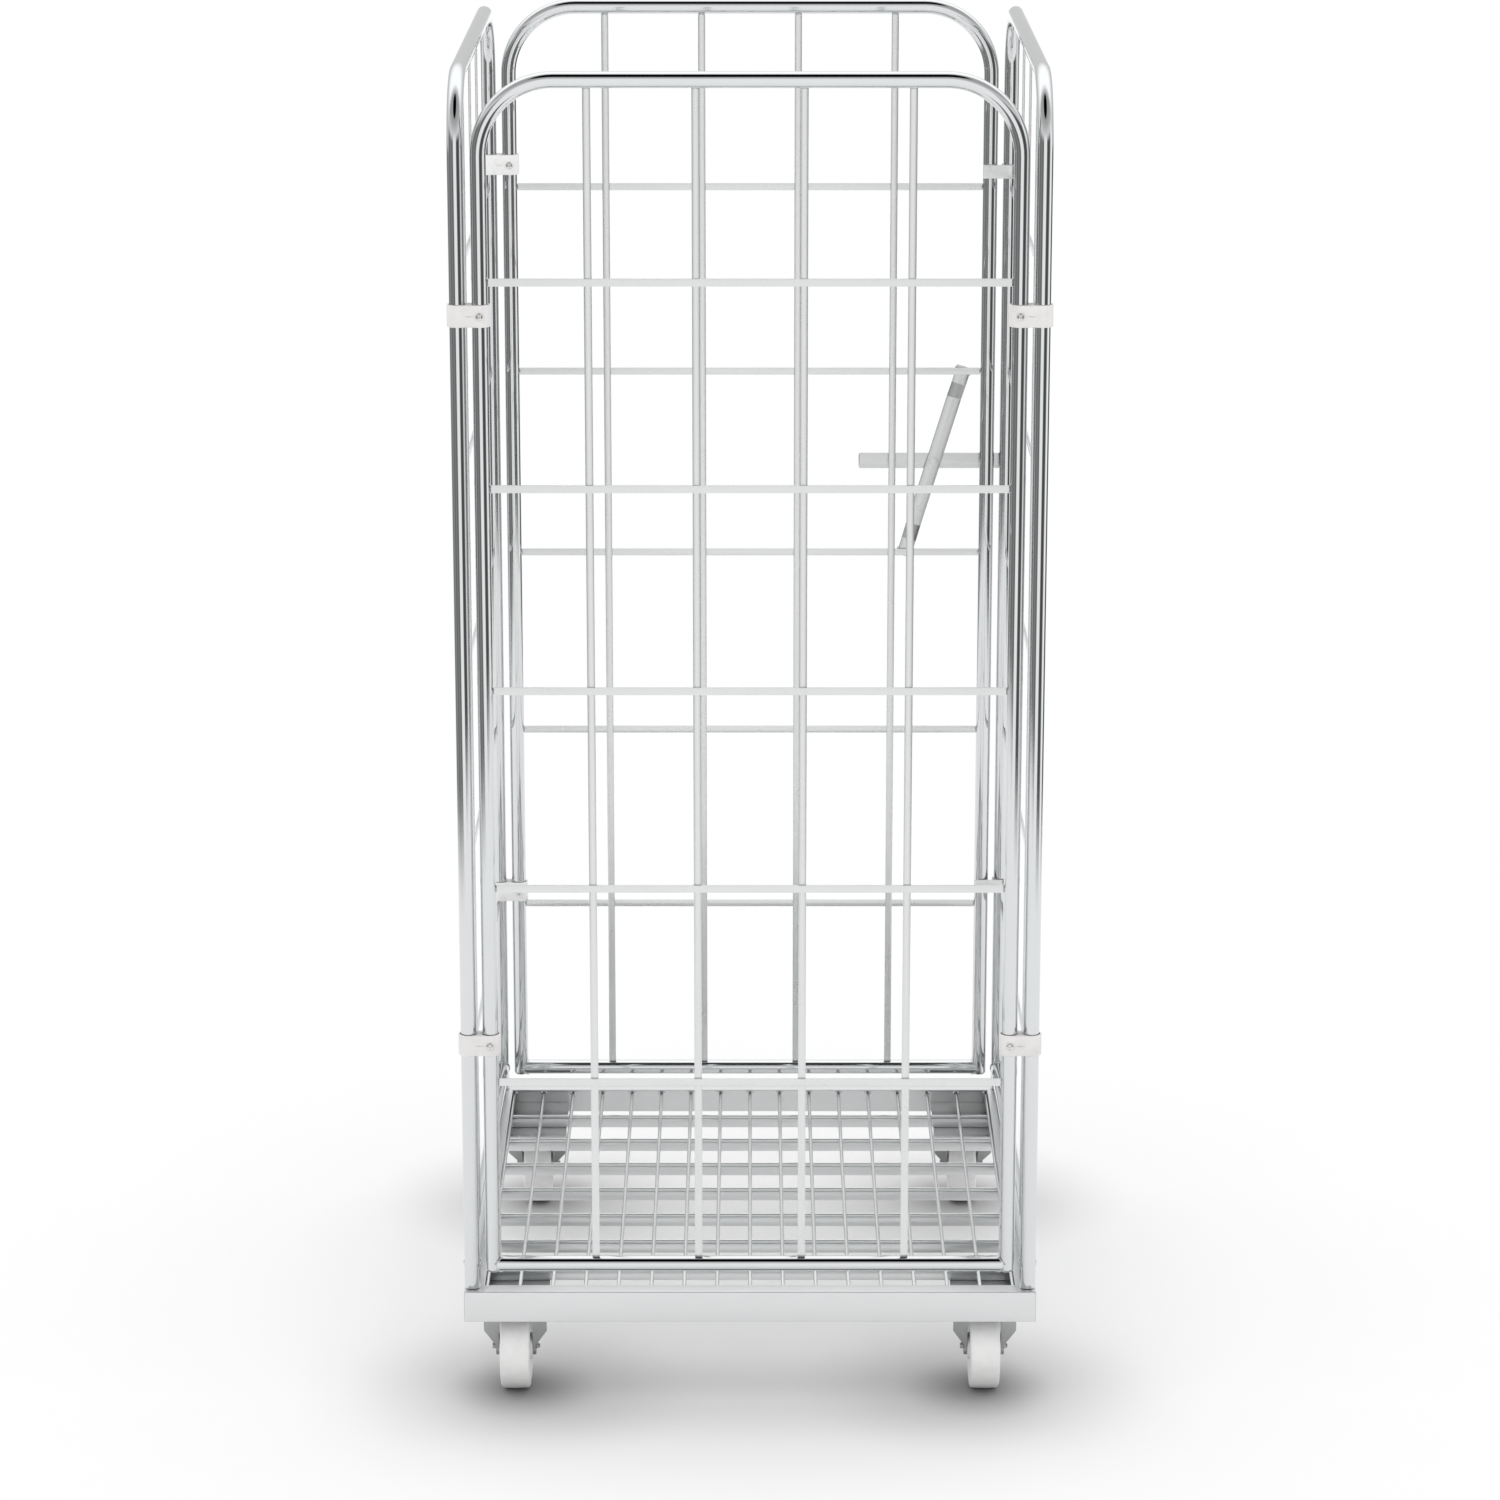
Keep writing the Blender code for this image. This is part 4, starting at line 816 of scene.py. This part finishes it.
def pressed_leg(centre, side, top, lean):
    """One leg of a bracket. Its foot is round, and its depth grows in a straight line to the top. In
    section it is a channel, and above the axle its two lips flare outwards into ears."""
    inner, outer = LEG_GAP / 2, LEG_GAP / 2 + LEG_THICK
    turn = np.radians(np.linspace(12, 90, 10))
    foot_z, foot_reach = AXLE_Z - LEG_FOOT * np.cos(turn), LEG_FOOT * np.sin(turn)
    to_ears = np.linspace(AXLE_Z, AXLE_Z + EAR_FULL, 17)
    rise = np.concatenate([to_ears[1:], np.linspace(AXLE_Z + EAR_FULL + 0.0005, top, 8)])
    share = (rise - AXLE_Z) / (top - AXLE_Z)
    depth = LEG_FOOT + (LEG_TOP_DEPTH / 2 - LEG_FOOT) * share
    z = np.concatenate([foot_z, rise])
    reach = np.concatenate([foot_reach, depth])
    middle = np.concatenate([0 * foot_z, lean * share])
    flare = np.clip((z - AXLE_Z - EAR_START) / (EAR_FULL - EAR_START), 0, 1)
    lip = LIP + EAR * flare
    wall = np.minimum(LEG_THICK, 2 * reach / 3)
    y0, y1, full = middle - reach, middle + reach, 0 * z
    root = full + outer + 0.0012
    inset = wall + np.minimum(0.0016, reach / 8)
    x = np.stack([full + inner, outer + lip, outer + lip, root, full + outer, full + outer, root,
                  outer + lip, outer + lip, full + inner], 1)
    y = np.stack([y0, y0, y0 + wall, y0 + wall, y0 + inset, y1 - inset, y1 - wall, y1 - wall, y1, y1], 1)
    return np.asarray(centre) + np.stack([side * x, y, z[:, None] + 0 * x], -1)


def plate(low, high, corner):
    """A flat plate with rounded corners, its outline raised by its thickness."""
    outline = bar_outline(high[0] - low[0], high[1] - low[1], corner, 7)
    middle = np.array([(low[0] + high[0]) / 2, (low[1] + high[1]) / 2])
    height = np.array([low[2], high[2]])[:, None]
    flat = np.broadcast_to(middle + outline, (2, len(outline), 2))
    return skin(np.concatenate([flat, np.broadcast_to(height, flat.shape[:2])[..., None]], -1))


def wheel_surface(centre):
    """A wheel about X: a profile of (along, radius) points spun, in which the sunk web between hub
    and rim stands out in eight low ribs, each a narrow cosine of the angle."""
    tread, half, hub, bore = 0.054, 0.019, 0.0212, 0.0031
    side_line = [(hub, bore), (hub, 0.0150), (hub - 0.0006, 0.0166), (0.0150, 0.0176), (0.0128, 0.0200),
                 (0.0126, 0.0360), (0.0142, 0.0388), (half - 0.0006, 0.0402), (half, 0.0420),
                 (half, 0.0470), (half - 0.0004, 0.0500), (0.0172, 0.0526), (0.0140, 0.0536), (0.0, tread)]
    corners = np.array(side_line)
    bends = [0, 0.0006, 0.0006, 0.0012, 0.0012, 0.0014, 0.0012, 0.0008, 0.0006, 0.0010, 0.0012,
             0.0010, 0.003, 0]
    line = route(corners, bends, 3)
    profile = np.concatenate([line, line[-2::-1] * (-1, 1)])
    points = spun(profile, (0, 0, 0), (1.0, 0.0, 0.0), 144)
    turn = np.linspace(0.0, 2 * math.pi, 144, endpoint=False)[None, :]
    radius = profile[:, 1:]
    on_web = np.clip((radius - WEB[0]) / 0.002, 0, 1) * np.clip((WEB[1] - radius) / 0.002, 0, 1)
    rib = np.clip((np.abs(np.cos(4 * turn)) - 0.90) / 0.08, 0, 1)
    points[..., 0] += np.sign(profile[:, :1]) * RIB_HEIGHT * on_web * rib
    return np.asarray(centre) + points


def hexagon(start, stop, flat, centre, axis):
    """A bolt head or nut: at angle t its side is at flat / cos of the angle from the nearest flat's
    middle, and it is turned down to a cone near both faces."""
    turn = np.linspace(0.0, 2 * math.pi, 72, endpoint=False)
    side = flat / np.cos((turn + math.pi / 6) % (math.pi / 3) - math.pi / 6)
    deep = 0.0005
    rows = [(start, 0.0), (start, flat * 0.93), (start + np.sign(stop - start) * deep, flat * 1.16),
            (stop - np.sign(stop - start) * deep, flat * 1.16), (stop, flat * 0.93), (stop, 0.0)]
    rows = route(rows, 0.0, 1)
    points = spun(rows, (0, 0, 0), axis, 72)
    radius = rows[:, 1:] + 0 * turn
    kept = np.where(radius > 0, np.minimum(radius, side) / np.maximum(radius, 1e-9), 0.0)[..., None]
    along = (points @ np.asarray(axis))[..., None] * np.asarray(axis)
    return np.asarray(centre) + along + (points - along) * kept


def axle_bolt(centre):
    """A hexagon bolt, its washers, its nut, and the threaded end that shows beyond the nut."""
    right = (1.0, 0.0, 0.0)
    shank = [(-0.0262, 0.0), (-0.0262, 0.0026), (0.0299, 0.0026), (0.0303, 0.0022), (0.0303, 0.0)]
    thread_x = np.linspace(0.0240, 0.0298, 49)
    thread = np.stack([thread_x, 0.0026 + 0.0002 * np.cos((thread_x - 0.024) * 2 * math.pi / 0.0007)], 1)
    washer = [(0.0241, 0.0027), (0.0241, 0.0052), (0.0242, 0.0053), (0.0248, 0.0053), (0.0249, 0.0052),
              (0.0249, 0.0027)]
    skins = [skin(spun(shank, centre, right, 24), "open"), skin(spun(thread, centre, right, 24)),
             skin(hexagon(-0.0249, -0.0303, 0.0036, centre, right), "open"),
             skin(hexagon(0.0249, 0.0284, 0.0036, centre, right), "open")]
    for flip in (1, -1):
        rim = np.array(washer) * (flip, 1)
        skins.append(skin(spun(rim, centre, right, 40), "joined"))
    return skins


for word in ("left", "right"):
    low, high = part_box(f"front_wheel_{word}")
    hub = (low + high) / 2
    foot = (hub.x, hub.y, 0.0)
    plate_low, plate_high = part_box(f"fixed_castor_bracket_{word}")
    legs = [skin(pressed_leg(foot, s, plate_high.z - PLATE_THICK + 0.0002, 0.0)) for s in (-1, 1)]
    top = plate((plate_low.x, plate_low.y, plate_high.z - PLATE_THICK), tuple(plate_high), 0.004)
    piece(f"fixed_castor_pressing_{word}", [top] + legs, castor_zinc, [f"fixed_castor_bracket_{word}"],
          edge=0.0005)
    piece(f"front_wheel_{word}_moulded", [skin(wheel_surface(hub), "joined")], wheel_plastic,
          [f"front_wheel_{word}"])
    piece(f"front_axle_{word}_bolt", axle_bolt(hub), axle_steel, [f"front_axle_{word}"])

for word in ("left", "right"):
    low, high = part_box(f"rear_wheel_{word}")
    hub = (low + high) / 2
    pin_low, pin_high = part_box(f"kingpin_{word}")
    pin = (pin_low + pin_high) / 2
    plate_low, plate_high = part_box(f"swivel_plate_{word}")
    piece(f"swivel_top_plate_{word}", [plate(tuple(plate_low), tuple(plate_high), 0.004)], castor_zinc,
          [f"swivel_plate_{word}"], edge=0.0005)
    race_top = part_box(f"swivel_fork_{word}")[1].z
    crown = race_top - CROWN_DROP
    legs = [skin(pressed_leg((pin.x, hub.y, 0.0), s, crown + 0.0004, pin.y - hub.y)) for s in (-1, 1)]
    crown_half = LEG_GAP / 2 + LEG_THICK + LIP + EAR
    cover = plate((pin.x - crown_half, pin.y - LEG_TOP_DEPTH / 2, crown),
                  (pin.x + crown_half, pin.y + LEG_TOP_DEPTH / 2, crown + CROWN_THICK), 0.006)
    race_line = [(crown + 0.0028, 0.0), (crown + 0.0028, 0.0262), (crown + 0.0036, 0.0270),
                 (crown + 0.0048, 0.0268), (crown + 0.0054, 0.0252), (crown + 0.0060, 0.0252),
                 (crown + 0.0066, 0.0268), (crown + 0.0082, 0.0266), (race_top, 0.0255), (race_top, 0.0)]
    race = skin(spun(race_line, (pin.x, pin.y, 0.0), ZENITH, 64), "open")
    piece(f"swivel_castor_fork_{word}", [cover, race] + legs, castor_zinc, [f"swivel_fork_{word}"],
          edge=0.0005)
    dome = np.linspace(0.0, math.pi / 2, 6)
    under = np.stack([pin_low.z + 0.0025 * (1 - np.cos(dome)), 0.0090 * np.sin(dome)], 1)
    upper = np.stack([pin_high.z - 0.0025 * (1 - np.cos(dome[::-1])), 0.0090 * np.sin(dome[::-1])], 1)
    neck = [(pin_low.z + 0.0026, 0.0060), (pin_high.z - 0.0026, 0.0060)]
    body = spun(np.concatenate([under, neck, upper]), (pin.x, pin.y, 0.0), ZENITH)
    piece(f"kingpin_{word}_turned", [skin(body, "open")], axle_steel, [f"kingpin_{word}"])
    piece(f"rear_wheel_{word}_moulded", [skin(wheel_surface(hub), "joined")], wheel_plastic,
          [f"rear_wheel_{word}"])
    piece(f"rear_axle_{word}_bolt", axle_bolt(hub), axle_steel, [f"rear_axle_{word}"])
